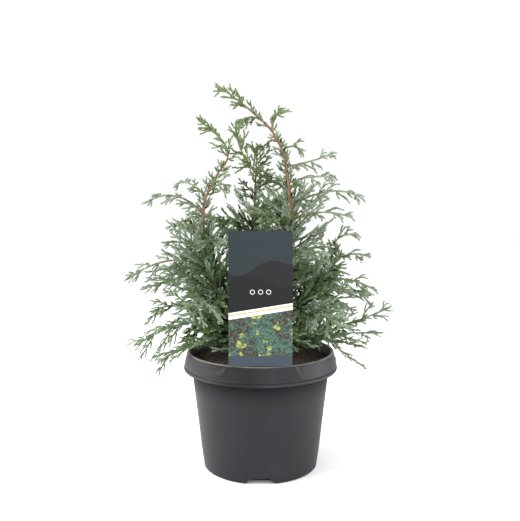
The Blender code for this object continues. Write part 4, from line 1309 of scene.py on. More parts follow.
def round_tip(height, compass, share, rise):
    angle = radians(compass)
    top = (height + rise) * MM
    radius = crown_radius(top) * share
    return np.array((radius * cos(angle), radius * sin(angle), top))


def grown_stems():
    limbs = {}
    for name, (foot, tip, *places) in STEMS.items():
        limbs[name] = Limb(curve_through(np.array(places) * MM), foot * MM, tip * MM)
    return limbs


def spray_courses(limbs):
    """Each spray's carrier, root height, tip, bend, bare share, longest shoot and tilt, in metres."""
    for name, row in OUTER_SPRAYS.items():
        carrier, height, tip, along, lift, wood, longest, tilt = row
        yield name, carrier, height, np.array(tip) * MM, along, lift, wood, longest, tilt
    for index, (name, row) in enumerate(ROUND_SPRAYS.items()):
        carrier, height, compass, share, rise, lift, wood, longest = row
        root_height = height or limbs[carrier].axis[-1][2] / MM
        tip = round_tip(root_height, compass, share, rise)
        along = 0.5 if height else 0.0
        tilt = ROUND_TILT + ROUND_TILT_STEP * (index % 4)
        yield name, carrier, height, tip, along, lift, wood, longest, tilt


def facing_of(course, tilt):
    """The way the flat of a spray looks: up at 0 degrees, to the front at 90, square to its course."""
    angle = radians(tilt)
    wanted = np.array((0.0, -sin(angle), cos(angle)))
    return square_to(wanted, course)


def grown_sprays(limbs):
    """The sprays. The bough of each one with bare wood joins the limbs before the next one grows."""
    sprays = []
    for seed, row in enumerate(spray_courses(limbs), start=1):
        name, carrier_name, height, tip, along, lift, wood, longest, tilt = row
        carrier = limbs[carrier_name]
        if height is None:
            heading = unit(carrier.axis[-1] - carrier.axis[-3])
            start = carrier.axis[-1]
            path = bent_path(start, start + heading * CARRIED_ON * np.linalg.norm(tip - start), tip)
        else:
            start = place_at_height(carrier, height * MM)[0]
            bend = start + along * (tip - start) + UP * lift * MM
            path = bent_path(start, bend, tip)
            path = started_at_plane(path, *bark_plane(carrier, height * MM, bend - start))
        root = start
        if wood:
            radius = TWIG_ROOT * (1.0 + BOUGH_THICKENING * np.linalg.norm(tip - start))
            bough = share_of(path, 0.0, wood, 12)
            limbs["bough_" + name] = Limb(np.vstack((start, bough)), radius, TWIG_ROOT)
            path = share_of(path, wood, 1.0, 40)
            root = path[0]
        facing = facing_of(unit(path[-1] - path[0]), tilt)
        sprays.append(Spray(name, path, root, facing, longest * MM, seed))
    return sprays


# Bark


def along_frame(path):
    """At each point of a path: its course, and two unit vectors square to it and to each other.

    The first is the axis direction that the path as a whole leans to least, made square to the course.
    """
    course = unit(np.gradient(path, axis=0))
    reference = np.eye(3)[np.argmin(np.abs(path[-1] - path[0]))]
    first = square_to(reference, course)
    return course, first, np.cross(course, first)


def bark_tube(limb, relief, seed, flared):
    """Rings of bark round a limb's axis: (1 + relief x noise) times the radius, the noise drawn out
    along the limb, and at the foot a flare that dies away upwards, with three low lobes."""
    length = lengths_along(limb.axis)[-1]
    count = max(8, round(length / BARK_STEP))
    path = even_points(limb.axis, count)
    _, first, second = along_frame(path)
    angles = np.linspace(0.0, tau, BARK_SIDES, endpoint=False)
    along = np.linspace(0.0, length, count)[:, None]
    around = first[:, None, :] * np.cos(angles)[:, None] + second[:, None, :] * np.sin(angles)[:, None]
    radius = np.linspace(limb.foot_radius, limb.tip_radius, count)[:, None]
    if flared:
        fall = np.exp(-along / FLARE_HEIGHT)
        lobes = FLARE_LOBE_HEIGHT * np.cos(FLARE_LOBES * angles + FLARE_LOBE_START)
        radius = radius * (1.0 + fall * (FLARE_SPREAD + lobes))
    skin = np.empty((count, BARK_SIDES, 3))
    skin[..., 0] = np.cos(angles)[None, :] * RIDGE_SCALE
    skin[..., 1] = np.sin(angles)[None, :] * RIDGE_SCALE
    skin[..., 2] = along / RIDGE_LENGTH
    fine = FINE_RIDGE_HEIGHT * lattice_noise(skin * FINE_RIDGE_SCALE, 1.0, seed + 4.0)
    ridges = lattice_noise(skin, 1.0, seed) + fine
    rings = path[:, None, :] + around * (radius * (1.0 + relief * ridges))[..., None]
    return with_poles(rings[::-1], path[-1], path[0])


def joined(meshes):
    """Several meshes as one: their points in a row, and their faces renumbered."""
    points, faces, first = [], {}, 0
    for some_points, some_faces in meshes:
        some_points = np.asarray(some_points).reshape(-1, 3)
        points.append(some_points)
        for rows in some_faces:
            faces.setdefault(rows.shape[1], []).append(rows + first)
        first += len(some_points)
    return np.concatenate(points), [np.concatenate(rows) for rows in faces.values()]


def drawn_limb(limbs, name):
    """A limb as its bark is drawn: the trunk from just under the compost, the others whole."""
    limb = limbs[name]
    if name != "trunk":
        return limb
    kept = limb.axis[limb.axis[:, 2] > COMPOST_MIDDLE - TRUNK_SUNK]
    return Limb(kept, limb.foot_radius, limb.tip_radius)


def build_bark(settings):
    limbs = grown_stems()
    grown_sprays(limbs)
    finish = bark_finish("bark_stringy", settings.bark, settings.furrow, settings.young_bark)
    groups = {
        "trunk_bark": ["trunk"],
        "stems_bark": [name for name in limbs if name.startswith("stem_")],
        "boughs_bark": [name for name in limbs if name.startswith("bough_")],
    }
    young = bark_finish("bark_of_boughs", settings.young_bark, tone(settings.young_bark, 0.4))
    for piece, names in groups.items():
        tubes = [
            bark_tube(drawn_limb(limbs, name), settings.relief, 2.0 + 3.0 * index, name == "trunk")
            for index, name in enumerate(names)
        ]
        points, faces = joined(tubes)
        new_piece(piece, points, faces, young if piece == "boughs_bark" else finish, "bark", names)


# Foliage


class Spaces:
    """Which points are free for a spray: nearest its own twig, off every limb, the pot and the card."""

    def __init__(self, sprays, limbs):
        self.names = [spray.name for spray in sprays]
        self.twigs = np.array([even_points(spray.axis, 9) for spray in sprays])
        self.limbs = np.array([even_points(limb.axis, 14) for limb in limbs.values()])
        self.limb_radii = np.array([limb.foot_radius * LIMB_GIRTH for limb in limbs.values()])

    def distances(self, points, paths):
        """From each point to the straight stretches of each path, an array of points by paths."""
        runs = np.diff(paths, axis=1)
        offsets = points[:, None, None, :] - paths[None, :, :-1]
        shares = (offsets * runs).sum(-1) / (runs * runs).sum(-1)
        nearest = np.clip(shares, 0.0, 1.0)[..., None] * runs
        return np.linalg.norm(offsets - nearest, axis=-1).min(axis=-1)

    def free(self, points, name):
        to_twigs = self.distances(points, self.twigs)
        own_index = self.names.index(name)
        own = to_twigs[:, own_index].copy()
        to_twigs[:, own_index] = np.inf
        if (to_twigs.min(axis=1) < own + 2 * SPACE_MARGIN).any():
            return False
        to_limbs = self.distances(points, self.limbs).min(axis=0)
        if (to_limbs < self.limb_radii + LIMB_MARGIN).any():
            return False
        return bool(clear_of_pot(points).all() and clear_of_card(points).all())


def clear_of_pot(points):
    radius = np.hypot(points[..., 0], points[..., 1])
    inside = radius <= LIP_RADIUS - RIM_INSIDE
    over_rim = ~inside & (radius < COLLAR_RADIUS + RIM_MARGIN)
    above_inside = np.where(inside, COMPOST_MIDDLE + TOP_MARGIN, 0.0)
    return points[..., 2] > np.where(over_rim, POT_HEIGHT + TOP_MARGIN, above_inside)


def clear_of_card(points):
    beside = np.abs(points[..., 0]) > CARD_HIGH[0] + RIM_MARGIN
    above = points[..., 2] > CARD_HIGH[2] + RIM_MARGIN
    behind = points[..., 1] > CARD_LOW[1] + STAKE_SETBACK + TOP_MARGIN
    return beside | above | behind


def open_front(points):
    """Over the front of the compost, under the line of sight that passes over the lip."""
    radius = np.hypot(points[..., 0], points[..., 1])
    forward = OPEN_FROM - points[..., 1]
    low = points[..., 2] < COMPOST_MIDDLE + OPEN_SLOPE * forward
    return (forward > 0.0) & low & (radius < COLLAR_RADIUS + RIM_MARGIN)


def in_box(points):
    """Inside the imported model's box with its margin."""
    low, high = (np.array(corner) for corner in CAD_BOX)
    return ((points > low - BOX_MARGIN) & (points < high + BOX_MARGIN)).all(axis=-1)


def shoot_plan(spray):
    """Where each side shoot leaves the twig, its heading, length and facing, by the source's rule.

    Shoots leave left and right in turn. They are longest two fifths of the way up the twig, and lean
    further forward towards its tip. The scene adds a shoot across from each, a little further on, by
    draws of its own, so that the source's draws stay as they are.
    """
    draw = random.Random(spray.seed)
    draw_across = random.Random(ACROSS_SEEDS + spray.seed)
    length = lengths_along(spray.axis)[-1]
    span = LAST_SHOOT - FIRST_SHOOT
    count = max(3, round(length * span / SHOOT_PITCH))
    for index in range(count):
        share = FIRST_SHOOT + span * index / (count - 1)
        side_sign = 1 if index % 2 else -1
        yield one_shoot(spray, share, side_sign, draw)
        across_share = share + ACROSS_OFFSET * span / (count - 1)
        across = one_shoot(spray, across_share, -side_sign, draw_across)
        if draw_across.random() < ACROSS_KEPT - ACROSS_LOST * share:
            yield across


def one_shoot(spray, share, side_sign, draw):
    """One shoot of the plan, on either side of the twig and rolled out of its flat at random."""
    place = share_of(spray.axis, share, min(1.0, share + COURSE_STEP), 2)
    course = unit(place[1] - place[0])
    ridge = square_to(spray.facing, course)
    side = np.cross(ridge, course) * side_sign
    roll = radians(draw.uniform(-ROLL_VARIES, ROLL_VARIES))
    lean = radians(SHOOT_LEAN - LEAN_LOST * share + draw.uniform(-LEAN_VARIES, LEAN_VARIES))
    outward = cos(roll) * side + sin(roll) * ridge
    heading = cos(lean) * course + sin(lean) * outward
    swell = sin(pi * (SHOOT_SWELL[0] + SHOOT_SWELL[1] * share))
    reach = spray.longest * swell * draw.uniform(1 - LENGTH_VARIES, 1 + LENGTH_VARIES)
    facing = unit(ridge * cos(roll) - side * sin(roll))
    return place[0], heading, course, reach, facing


def shoot_path(root, heading, course, reach, points, droop):
    """From the twig's axis outwards, turning towards the twig's own course and hanging at the end.

    It is reach x (heading (t - t²/2) + turned (t²/2) - up (droop x t²)), with t from 0 to 1.
    """
    t = np.linspace(0.0, 1.0, points)[:, None]
    turned_in = unit(heading + TURNING_IN * course) * 0.5 * t**2
    return root + reach * (heading * (t - 0.5 * t**2) + turned_in - UP * droop * t**2)


def room_samples(path, facing):
    """Points that have to lie in a shoot's space: its axis, its sprigs' tips and their middles."""
    course = unit(np.gradient(path, axis=0))[1:-1]
    ridge = square_to(facing, course)
    across = np.cross(ridge, course)
    stations = len(path) - 1
    stretch = np.linalg.norm(path[1] - path[0])
    reach = TOOTH_REACH * (1.0 - TOOTH_SHORTENING * np.arange(stations - 1) / stations)[:, None]
    ahead = path[1:-1] + course * stretch * TOOTH_SWEEP
    tips = np.concatenate((ahead + across * reach, ahead - across * reach))
    middles = ((tips[:, None, :] + path[None, 1:, :]) / 2).reshape(-1, 3)
    middles = middles[np.linalg.norm(middles - path[0], axis=1) > ROOT_FREE]
    return np.concatenate((tips, middles, path[1:]))


def twig_reach(share, height):
    """How long a shoot round a twig is, at a share of its length."""
    return TWIG_REACH - TWIG_REACH_LOST * share


def stem_reach(height, less):
    """How long a shoot round a stem is: a share of the crown's radius there, less where it is open."""
    return INNER_SHARE * crown_radius(height) * (1.0 - INNER_LOST * less)


def inner_stem_reach(share, height):
    """Less towards the crown's top."""
    return stem_reach(height, smooth_step(height, OPEN_ABOVE, OPEN_TOP))


def outer_stem_reach(share, height):
    """Less towards the crown's top, and less towards the stem's own tip."""
    open_top = smooth_step(height + OUTER_OPENED, OPEN_ABOVE, OPEN_TOP)
    return stem_reach(height, max(smooth_step(share, *OUTER_STEM_FADE), open_top))


def cover_reach(share, height):
    """Short, and nothing where the stem is bare above."""
    return COVER_REACH * (1.0 - smooth_step(height, OPEN_ABOVE, OPEN_TOP))


def outer_cover_reach(share, height):
    """As on the inner stems, but bare from lower down, and less towards the stem's own tip."""
    return cover_reach(share, height + OUTER_OPENED) * (1.0 - smooth_step(share, *OUTER_COVER_FADE))


def leader_reach(share, height):
    """Short, and only where the stem is bare above."""
    return LEADER_REACH * smooth_step(height, OPEN_ABOVE, OPEN_TOP)


def shoots_round(axis, pitch, usual_lean, reach_at, seed, on_stem=True):
    """Short shoots all round a path. Those of a stem hang less, and leave its bark in view in front."""
    draw = random.Random(seed)
    droop = STEM_SHOOT_DROOP if on_stem else SHOOT_DROOP
    count = max(3, round(lengths_along(axis)[-1] / pitch))
    places = even_points(axis, count + 1)
    course, first, second = along_frame(places)
    for index in range(1, count):
        turn = radians(TURN * index + draw.uniform(-TURN_VARIES, TURN_VARIES))
        lean = radians(usual_lean + draw.uniform(-ROUND_LEAN_VARIES, ROUND_LEAN_VARIES))
        outward = cos(turn) * first[index] + sin(turn) * second[index]
        heading = cos(lean) * course[index] + sin(lean) * outward
        height = places[index][2]
        reach = reach_at(index / count, height)
        reach_drawn = reach * draw.uniform(*ROUND_REACH_DRAWN)
        path = shoot_path(places[index], heading, course[index], reach_drawn, PATH_POINTS, droop)
        facing = facing_of(heading, draw.uniform(0.0, ROUND_TILT_MOST))
        hides_bark = on_stem and BARK_SEEN[0] < height < BARK_SEEN[1] and outward[1] < -BARK_SEEN_FRONT
        grows = height > LOWEST_SHOOT and reach > SHORTEST_SHOOT and not hides_bark
        if grows and not open_front(path).any() and clear_of_pot(path).all() and clear_of_card(path).all():
            yield path, facing


class Growth:
    """Runs of like paths, by points and place, and with every path its facing, tint and carrier."""

    def __init__(self):
        self.runs = []

    def add(self, paths, facings, tints, carrier):
        self.runs.append((paths, facings, tints, np.full(len(paths), carrier)))

    def arrays(self):
        return [np.concatenate(rows) for rows in zip(*self.runs)]


@dataclass
class Clothing:
    """How shoots are clothed: their sprigs' pitch and reach against the usual, how far those hang as a
    share of their length, how many steps darker they are near the shoot's root, and if they branch."""

    pitch: float
    reach: float
    hang: float
    # The darker steps near a shoot's root are painted shade
    darker_steps: int
    branching: bool


# The sprigs in front and on the stems turn up, so their hang is below 0
FULL_CLOTHING = Clothing(pitch=1.0, reach=1.0, hang=0.12, darker_steps=2, branching=True)
CLOSE_CLOTHING = Clothing(pitch=1.05, reach=1.0, hang=0.12, darker_steps=1, branching=False)
OPEN_CLOTHING = Clothing(pitch=1.45, reach=0.85, hang=0.12, darker_steps=1, branching=False)
FRONT_CLOTHING = Clothing(pitch=1.3, reach=0.95, hang=-0.08, darker_steps=2, branching=False)


def clothing_of(name):
    """How a spray's shoots are clothed, and the share of its twig past which no short shoots grow."""
    if name.startswith("front_"):
        return FRONT_CLOTHING, TWIG_BARE_FROM
    if name in CLOSE_SPRAYS:
        return CLOSE_CLOTHING, TWIG_BARE_FROM
    if name in OUTER_SPRAYS:
        return OPEN_CLOTHING, OPEN_TWIG_BARE_FROM
    return FULL_CLOTHING, TWIG_BARE_FROM


def curved_paths(root, heading, course, reach, turn_in, hang):
    """Paths of root + reach x (heading t + (course - heading) turn_in t² - up hang t²), t from 0 to 1."""
    t = np.linspace(0.0, 1.0, PATH_POINTS)[None, :, None]
    bend = (course - heading)[:, None, :] * turn_in * t**2 - UP * hang * t**2
    return root[:, None, :] + reach[:, None, None] * (heading[:, None, :] * t + bend)


def sprigs_of(path, facing, rng, pitch, clothing):
    """The sprigs of one shoot: their paths and facings, left and right in turn along it.

    A sprig's reach is what the source's teeth have, less towards the shoot's tip and on short shoots.
    """
    length = lengths_along(path)[-1]
    count = max(3, round(length * (LAST_SPRIG - FIRST_SPRIG) / pitch))
    share = np.linspace(FIRST_SPRIG, LAST_SPRIG, count)
    fine = even_points(path, 24)
    along = np.linspace(0.0, 1.0, 24)
    root = places_at(share, along, fine)
    course = unit(places_at(share, along, unit(np.gradient(fine, axis=0))))
    ridge = square_to(facing, course)
    side = np.cross(ridge, course) * np.where(np.arange(count) % 2, 1.0, -1.0)[:, None]
    roll = np.radians(rng.uniform(-SPRIG_ROLL, SPRIG_ROLL, count))[:, None]
    varied = rng.uniform(-SPRIG_LEAN_VARIES, SPRIG_LEAN_VARIES, count)
    lean = np.radians(SPRIG_LEAN - SPRIG_LEAN_LOST * share + varied)[:, None]
    outward = np.cos(roll) * side + np.sin(roll) * ridge
    heading = np.cos(lean) * course + np.sin(lean) * outward
    swell = np.sin(pi * (SPRIG_SWELL[0] + SPRIG_SWELL[1] * share))
    swell = swell * min(1.0, SHORT_SHOOT_SHARE + length / SHORT_SHOOT_LENGTH)
    reach = TOOTH_REACH * SPRIG_REACH * clothing.reach * swell * rng.uniform(*SPRIG_REACH_DRAWN, count)
    facings = unit(ridge * np.cos(roll) - side * np.sin(roll))
    return curved_paths(root, heading, course, reach, SPRIG_TURN_IN, clothing.hang), facings


def side_sprigs_of(paths, facings, rng):
    """Short sprigs on both sides of every longer sprig, at the given shares of it."""
    lengths = np.linalg.norm(paths[:, -1] - paths[:, 0], axis=1)
    longer = lengths > BRANCHING_FROM
    paths, facings, lengths = paths[longer], facings[longer], lengths[longer]
    made, made_facings = [], []
    for index, share in enumerate(SIDE_SPRIG_SHARES):
        at = share * (PATH_POINTS - 1)
        lower = int(at)
        stretch = paths[:, lower + 1] - paths[:, lower]
        root = paths[:, lower] + stretch * (at - lower)
        course = unit(stretch)
        sign = np.where((np.arange(len(paths)) + index) % 2, 1.0, -1.0)[:, None]
        side = np.cross(facings, course) * sign
        varied = rng.uniform(-SIDE_SPRIG_LEAN_VARIES, SIDE_SPRIG_LEAN_VARIES, len(paths))
        lean = np.radians(SIDE_SPRIG_LEAN + varied)[:, None]
        heading = np.cos(lean) * course + np.sin(lean) * side
        reach = lengths * (SIDE_SPRIG_REACH - SIDE_SPRIG_REACH_LOST * share)
        reach = reach * rng.uniform(*SIDE_SPRIG_REACH_DRAWN, len(paths))
        made.append(curved_paths(root, heading, course, reach, SIDE_SPRIG_TURN_IN, SIDE_SPRIG_HANG))
        made_facings.append(facings)
    return np.concatenate(made), np.concatenate(made_facings)


def shoot_tint(name, root, share, draw):
    """A tint's number: darker inside and low in the crown, paler outside, fresh on the young tips."""
    # Painted light and shade: the tint's number rises outwards, upwards and in front, and falls inside the
    # crown
    paler_steps = PALER_STEPS.get(name, 0.0)
    outwards = min(LIGHT_OUTERMOST, hypot(root[0], root[1]) / crown_radius(root[2]))
    light = LIGHT_INSIDE + LIGHT_OUTWARDS * outwards + LIGHT_UPWARDS * (root[2] - LIGHT_HEIGHT)
    light += LIGHT_ALONG * share + draw.uniform(-LIGHT_VARIES, LIGHT_VARIES) + paler_steps
    # Painted light on the sprays in front
    if name.startswith("front_"):
        light += LIGHT_IN_FRONT
    if name in FRESH_SPRAYS or (name in HALF_FRESH_SPRAYS and draw.random() < 0.5):
        varied = draw.uniform(-FRESH_VARIES, FRESH_VARIES)
        paler = FRESH_AT_ROOT + FRESH_ALONG * share + varied + min(0.0, paler_steps)
        return min(len(TINTS) - 1, FIRST_FRESH + max(0, round(paler)))
    return min(FIRST_FRESH - 1, max(0, round(light)))


def leaf_arrays(paths, facings, pitch, length, width, rng):
    """Leaves in crossed pairs along each path, each with four corners: root, two edges and tip.

    A leaf leans out from its path. Its edges are drawn in towards the path, so that its outer side has
    a keel, and its tip bends forward a little. The number of each leaf's path goes with the leaves.
    """
    run = np.diff(paths, axis=1)
    lengths = np.linalg.norm(run, axis=2).sum(axis=1)
    pairs = np.maximum(2, np.round(lengths / pitch)).astype(int)
    owner = np.repeat(np.arange(len(paths)), pairs)
    order = np.arange(len(owner)) - np.repeat(np.cumsum(pairs) - pairs, pairs)
    share = (order + LEAF_SEAT) / pairs[owner]
    at = np.minimum(share * (PATH_POINTS - 1), PATH_POINTS - 1.001)
    lower = at.astype(int)
    stretch = run[owner, lower]
    root = paths[owner, lower] + stretch * (at - lower)[:, None]
    course = unit(stretch)
    flat = square_to(facings[owner], course)
    across = np.cross(course, flat)
    crossed = np.where(order % 2, pi / 2, 0.0)
    angle = crossed + rng.uniform(-LEAF_TURN_VARIES, LEAF_TURN_VARIES, len(owner)) + LEAF_TURN
    size = length * (1.0 - LEAF_SHORTENED * share) * rng.uniform(*LEAF_LENGTH_DRAWN, len(owner))
    leaves = []
    for half_turn in (0.0, pi):
        turned = (angle + half_turn)[:, None]
        radial = np.cos(turned) * across + np.sin(turned) * flat
        lean = np.radians(rng.uniform(*LEAF_LEAN, len(owner)))[:, None]
        along = np.cos(lean) * course + np.sin(lean) * radial
        outer = np.cos(lean) * radial - np.sin(lean) * course
        edge = np.cross(course, radial) * width / 2
        reach = along * size[:, None]
        seat = root - outer * width * LEAF_ROOT
        shoulder = root + reach * LEAF_WIDEST - outer * width * LEAF_KEEL
        tip = root + reach + course * size[:, None] * LEAF_TIP_BEND
        leaves.append(np.stack((seat, shoulder + edge, shoulder - edge, tip), axis=1))
    return np.concatenate(leaves), np.concatenate((owner, owner))


LEAF_FACES = np.array(((0, 1, 3), (0, 3, 2), (0, 2, 1), (1, 2, 3)))


def leaf_faces(count):
    return [(LEAF_FACES[None] + 4 * np.arange(count)[:, None, None]).reshape(-1, 3)]


def tubes(paths, facings, root_radius, tip_radius, sides):
    """Tapering tubes round many paths at once, each closed at its root and drawn to a point."""
    count, points = paths.shape[:2]
    course = unit(np.gradient(paths, axis=1))
    flat = square_to(facings[:, None, :], course)
    across = np.cross(course, flat)
    radius = np.linspace(root_radius, tip_radius, points)[None, :, None, None]
    angles = np.linspace(0.0, tau, sides, endpoint=False)[None, None, :, None]
    ring = np.cos(angles) * across[:, :, None, :] + np.sin(angles) * flat[:, :, None, :]
    rings = paths[:, :, None, :] + radius * ring
    first = (np.arange(count) * points * sides)[:, None, None]
    quads = (ring_faces(points, sides)[None, :, ::-1] + first).reshape(-1, 4)
    roots = (np.arange(sides)[None, :] + first[:, 0]).reshape(-1, sides)
    ends = (np.arange(sides)[None, ::-1] + first[:, 0] + (points - 1) * sides).reshape(-1, sides)
    return rings, [quads, roots, ends]


class Plant:
    """All that grows on the stems and boughs, each kind as runs of paths with their facings and tints."""

    def __init__(self, settings):
        self.settings = settings
        self.limbs = grown_stems()
        self.sprays = grown_sprays(self.limbs)
        self.spaces = Spaces(self.sprays, self.limbs)
        self.twigs = Growth()
        self.young_twigs = Growth()
        self.leafy_twigs = Growth()
        self.shoots = Growth()
        self.sprigs = Growth()
        self.side_sprigs = Growth()
        for number, spray in enumerate(self.sprays):
            self.grow_spray(number, spray)
        for number, (name, limb) in enumerate(self.limbs.items()):
            self.clothe_limb(number, name, limb)

    def add_shoot(self, path, facing, tint, carrier, rng, clothing):
        """One shoot with its sprigs, and with side sprigs where they branch."""
        if open_front(path[-1]):
            return
        self.shoots.add(path[None], facing[None], np.array([tint]), carrier)
        pitch = self.settings.sprig_pitch * clothing.pitch
        paths, facings = sprigs_of(path, facing, rng, pitch, clothing)
        tips = paths[:, -1]
        kept = clear_of_pot(tips) & clear_of_card(tips) & in_box(tips) & ~open_front(tips)
        paths, facings = paths[kept], facings[kept]
        share = np.linalg.norm(paths[:, 0] - path[0], axis=1) / lengths_along(path)[-1]
        fresh = tint >= FIRST_FRESH
        lowest, highest = (FIRST_FRESH, len(TINTS) - 1) if fresh else (0, FIRST_FRESH - 1)
        steps = rng.choice(TINT_STEPS, len(paths)) + (share > PALER_FROM)
        # Painted shade: the sprigs near the shoot's root are darker
        tints = tint + steps - clothing.darker_steps * (share < DARKER_UP_TO)
        self.sprigs.add(paths, facings, np.clip(tints, lowest, highest), carrier)
        if clothing.branching:
            paths, facings = side_sprigs_of(paths, facings, rng)
            tints = tint + rng.choice(SIDE_TINT_STEPS, len(paths))
            self.side_sprigs.add(paths, facings, np.clip(tints, lowest, highest), carrier)

    def add_twig(self, number, spray, axis, draw):
        """The twig, woody and then green, and the leafy stretches of it."""
        drawn = np.vstack((spray.root, axis)) if np.any(spray.root != axis[0]) else axis
        facing, untinted = spray.facing[None], np.zeros(1, int)
        woody = share_of(drawn, 0.0, GREEN_FROM, TWIG_POINTS)
        green = share_of(drawn, GREEN_FROM, TWIG_END, TWIG_POINTS)
        self.twigs.add(woody[None], facing, untinted, number)
        self.young_twigs.add(green[None], facing, untinted, number)
        length = lengths_along(spray.axis)[-1]
        stretches = max(2, round(length * (1.0 - CLOTHED_FROM) / CLOTHED_STEP))
        edges = np.linspace(CLOTHED_FROM, 1.0, stretches + 1)
        for low, high in zip(edges, edges[1:]):
            stretch = share_of(axis, low, high, PATH_POINTS)
            tint = shoot_tint(spray.name, stretch[0], low, draw)
            self.leafy_twigs.add(stretch[None], facing, np.array([tint]), number)

    def main_shoots(self, spray):
        """The shoots of the plan, each shortened until its space is free, and their shares of the twig."""
        length = lengths_along(spray.axis)[-1]
        for root, heading, course, reach, facing in shoot_plan(spray):
            share = np.linalg.norm(root - spray.axis[0]) / length
            if spray.name in OUTER_SPRAYS and spray.name not in CLOSE_SPRAYS:
                reach *= OUTER_REACH * (1.0 - OUTER_SHORTENED * share)
            reach *= REACH_SHARES.get(spray.name, 1.0)
            for shortened in SHORTENED:
                stations = 4 if reach * shortened > LONG_SHOOT * SHOOT_STRETCH else 3
                path = shoot_path(root, heading, course, reach * shortened, stations, SHOOT_DROOP)
                if self.spaces.free(room_samples(path, facing), spray.name):
                    path = shoot_path(root, heading, course, reach * shortened, PATH_POINTS, SHOOT_DROOP)
                    yield path, facing, share
                    break

    def short_shoots(self, spray, bare_from):
        """The short shoots round the twig, up to the bare share of it, or all along on young tips."""
        length = lengths_along(spray.axis)[-1]
        seed = TWIG_SHOOT_SEEDS + spray.seed
        grown = shoots_round(spray.axis, TWIG_PITCH, TWIG_LEAN, twig_reach, seed, on_stem=False)
        for path, facing in grown:
            share = np.linalg.norm(path[0] - spray.axis[0]) / length
            if share < bare_from or spray.name in FRESH_SPRAYS:
                yield path, facing, share

    def grow_spray(self, number, spray):
        """The twig and all shoots of one spray."""
        draw = random.Random(SPRAY_TINT_SEEDS + spray.seed)
        rng = np.random.default_rng(SPRAY_SPRIG_SEEDS + spray.seed)
        axis = spray.axis[: len(spray.axis) - int(open_front(spray.axis).sum())]
        self.add_twig(number, spray, axis, draw)
        clothing, bare_from = clothing_of(spray.name)
        end = share_of(axis, END_SHOOT, 1.0, PATH_POINTS)
        grown = [(end, spray.facing, 1.0), *self.main_shoots(spray), *self.short_shoots(spray, bare_from)]
        for path, facing, share in grown:
            tint = shoot_tint(spray.name, path[0], share, draw)
            self.add_shoot(path, facing, tint, number, rng, clothing)

    def clothe_limb(self, number, name, limb):
        """Shoots all round a limb, close ones that hide it, and a few on the bare leader.

        Their leaves stand for the first spray.
        """
        draw = random.Random(STEM_TINT_SEEDS + number)
        rng = np.random.default_rng(STEM_SPRIG_SEEDS + number)
        reach_at, cover_at = inner_stem_reach, cover_reach
        if name in OUTER_STEMS:
            reach_at, cover_at = outer_stem_reach, outer_cover_reach
        rounds = [
            (STEM_PITCH, STEM_LEAN, reach_at, STEM_SHOOT_SEEDS),
            (COVER_PITCH, COVER_LEAN, cover_at, COVER_SHOOT_SEEDS),
        ]
        if name == "trunk":
            rounds.append((LEADER_PITCH, LEADER_LEAN, leader_reach, LEADER_SHOOT_SEEDS))
        for pitch, lean, reach, seeds in rounds:
            for path, facing in shoots_round(limb.axis, pitch, lean, reach, seeds + number):
                tint = shoot_tint(name, path[-1], 0.0, draw)
                self.add_shoot(path, facing, tint, 0, rng, FRONT_CLOTHING)


def tint_colour(settings, shares):
    """The mix of the four leaf colours in the given shares."""
    colours = (settings.shade, settings.glaucous, settings.pale, settings.fresh)
    return tuple(sum(share * colour[part] for share, colour in zip(shares, colours)) for part in range(3))


def build_twigs(plant, nodes):
    """The twigs and the stems of shoots and sprigs, as tubes. Those of the sprigs have fewer points."""
    settings = plant.settings
    wood = bark_finish("twig_wood", settings.wood, tone(settings.wood, 0.45))
    green = bark_finish("twig_green", settings.green_wood, tone(settings.green_wood, 0.6))
    for name, growth, point_step, radii, sides, finish, slot in (
        ("woody_twigs", plant.twigs, 1, (TWIG_ROOT, TWIG_MIDDLE), 7, wood, "bark"),
        ("young_twigs", plant.young_twigs, 1, (TWIG_MIDDLE, TWIG_TIP), 6, green, "bark"),
        ("shoot_stems", plant.shoots, 1, SHOOT_STEM_RADII, 5, green, "blue_foliage"),
        ("sprig_stems", plant.sprigs, 2, SPRIG_STEM_RADII, 3, green, "blue_foliage"),
    ):
        paths, facings, _, carriers = growth.arrays()
        points, faces = tubes(paths[:, ::point_step], facings, *radii, sides)
        new_piece(name, points, faces, finish, slot, nodes[np.unique(carriers)])


def build_leaves(plant, nodes):
    """All leaves, a little larger on twigs than on side sprigs, as one piece or more for each tint."""
    settings = plant.settings
    rng = np.random.default_rng(LEAF_SEED)
    grown = []
    for growth, scale in (
        (plant.leafy_twigs, 1.25), (plant.shoots, 1.1), (plant.sprigs, 1.0), (plant.side_sprigs, 0.85)
    ):
        paths, facings, tints, carriers = growth.arrays()
        length, width = settings.leaf_length * scale, settings.leaf_width * scale
        leaves, owner = leaf_arrays(paths, facings, settings.leaf_pitch, length, width, rng)
        grown.append((leaves, tints[owner], carriers[owner]))
    leaves, tints, carriers = (np.concatenate(rows) for rows in zip(*grown))
    for tint in np.unique(tints):
        name, shares = TINTS[tint]
        finish = leaf_finish("leaf_" + name, tint_colour(settings, shares))
        slot = "fresh_foliage" if tint >= FIRST_FRESH else "blue_foliage"
        chosen = np.flatnonzero(tints == tint)
        parts = max(1, ceil(len(chosen) * len(LEAF_FACES) / MOST_FACES))
        for part, rows in enumerate(np.array_split(chosen, parts)):
            label = f"leaves_{name}" + (f"_{part + 1}" if parts > 1 else "")
            borne_by = nodes[np.unique(carriers[rows])]
            new_piece(label, leaves[rows], leaf_faces(len(rows)), finish, slot, borne_by, smooth=False)


def build_foliage(settings):
    plant = Plant(settings)
    nodes = np.array(["spray_" + spray.name for spray in plant.sprays])
    build_twigs(plant, nodes)
    build_leaves(plant, nodes)


# The stage


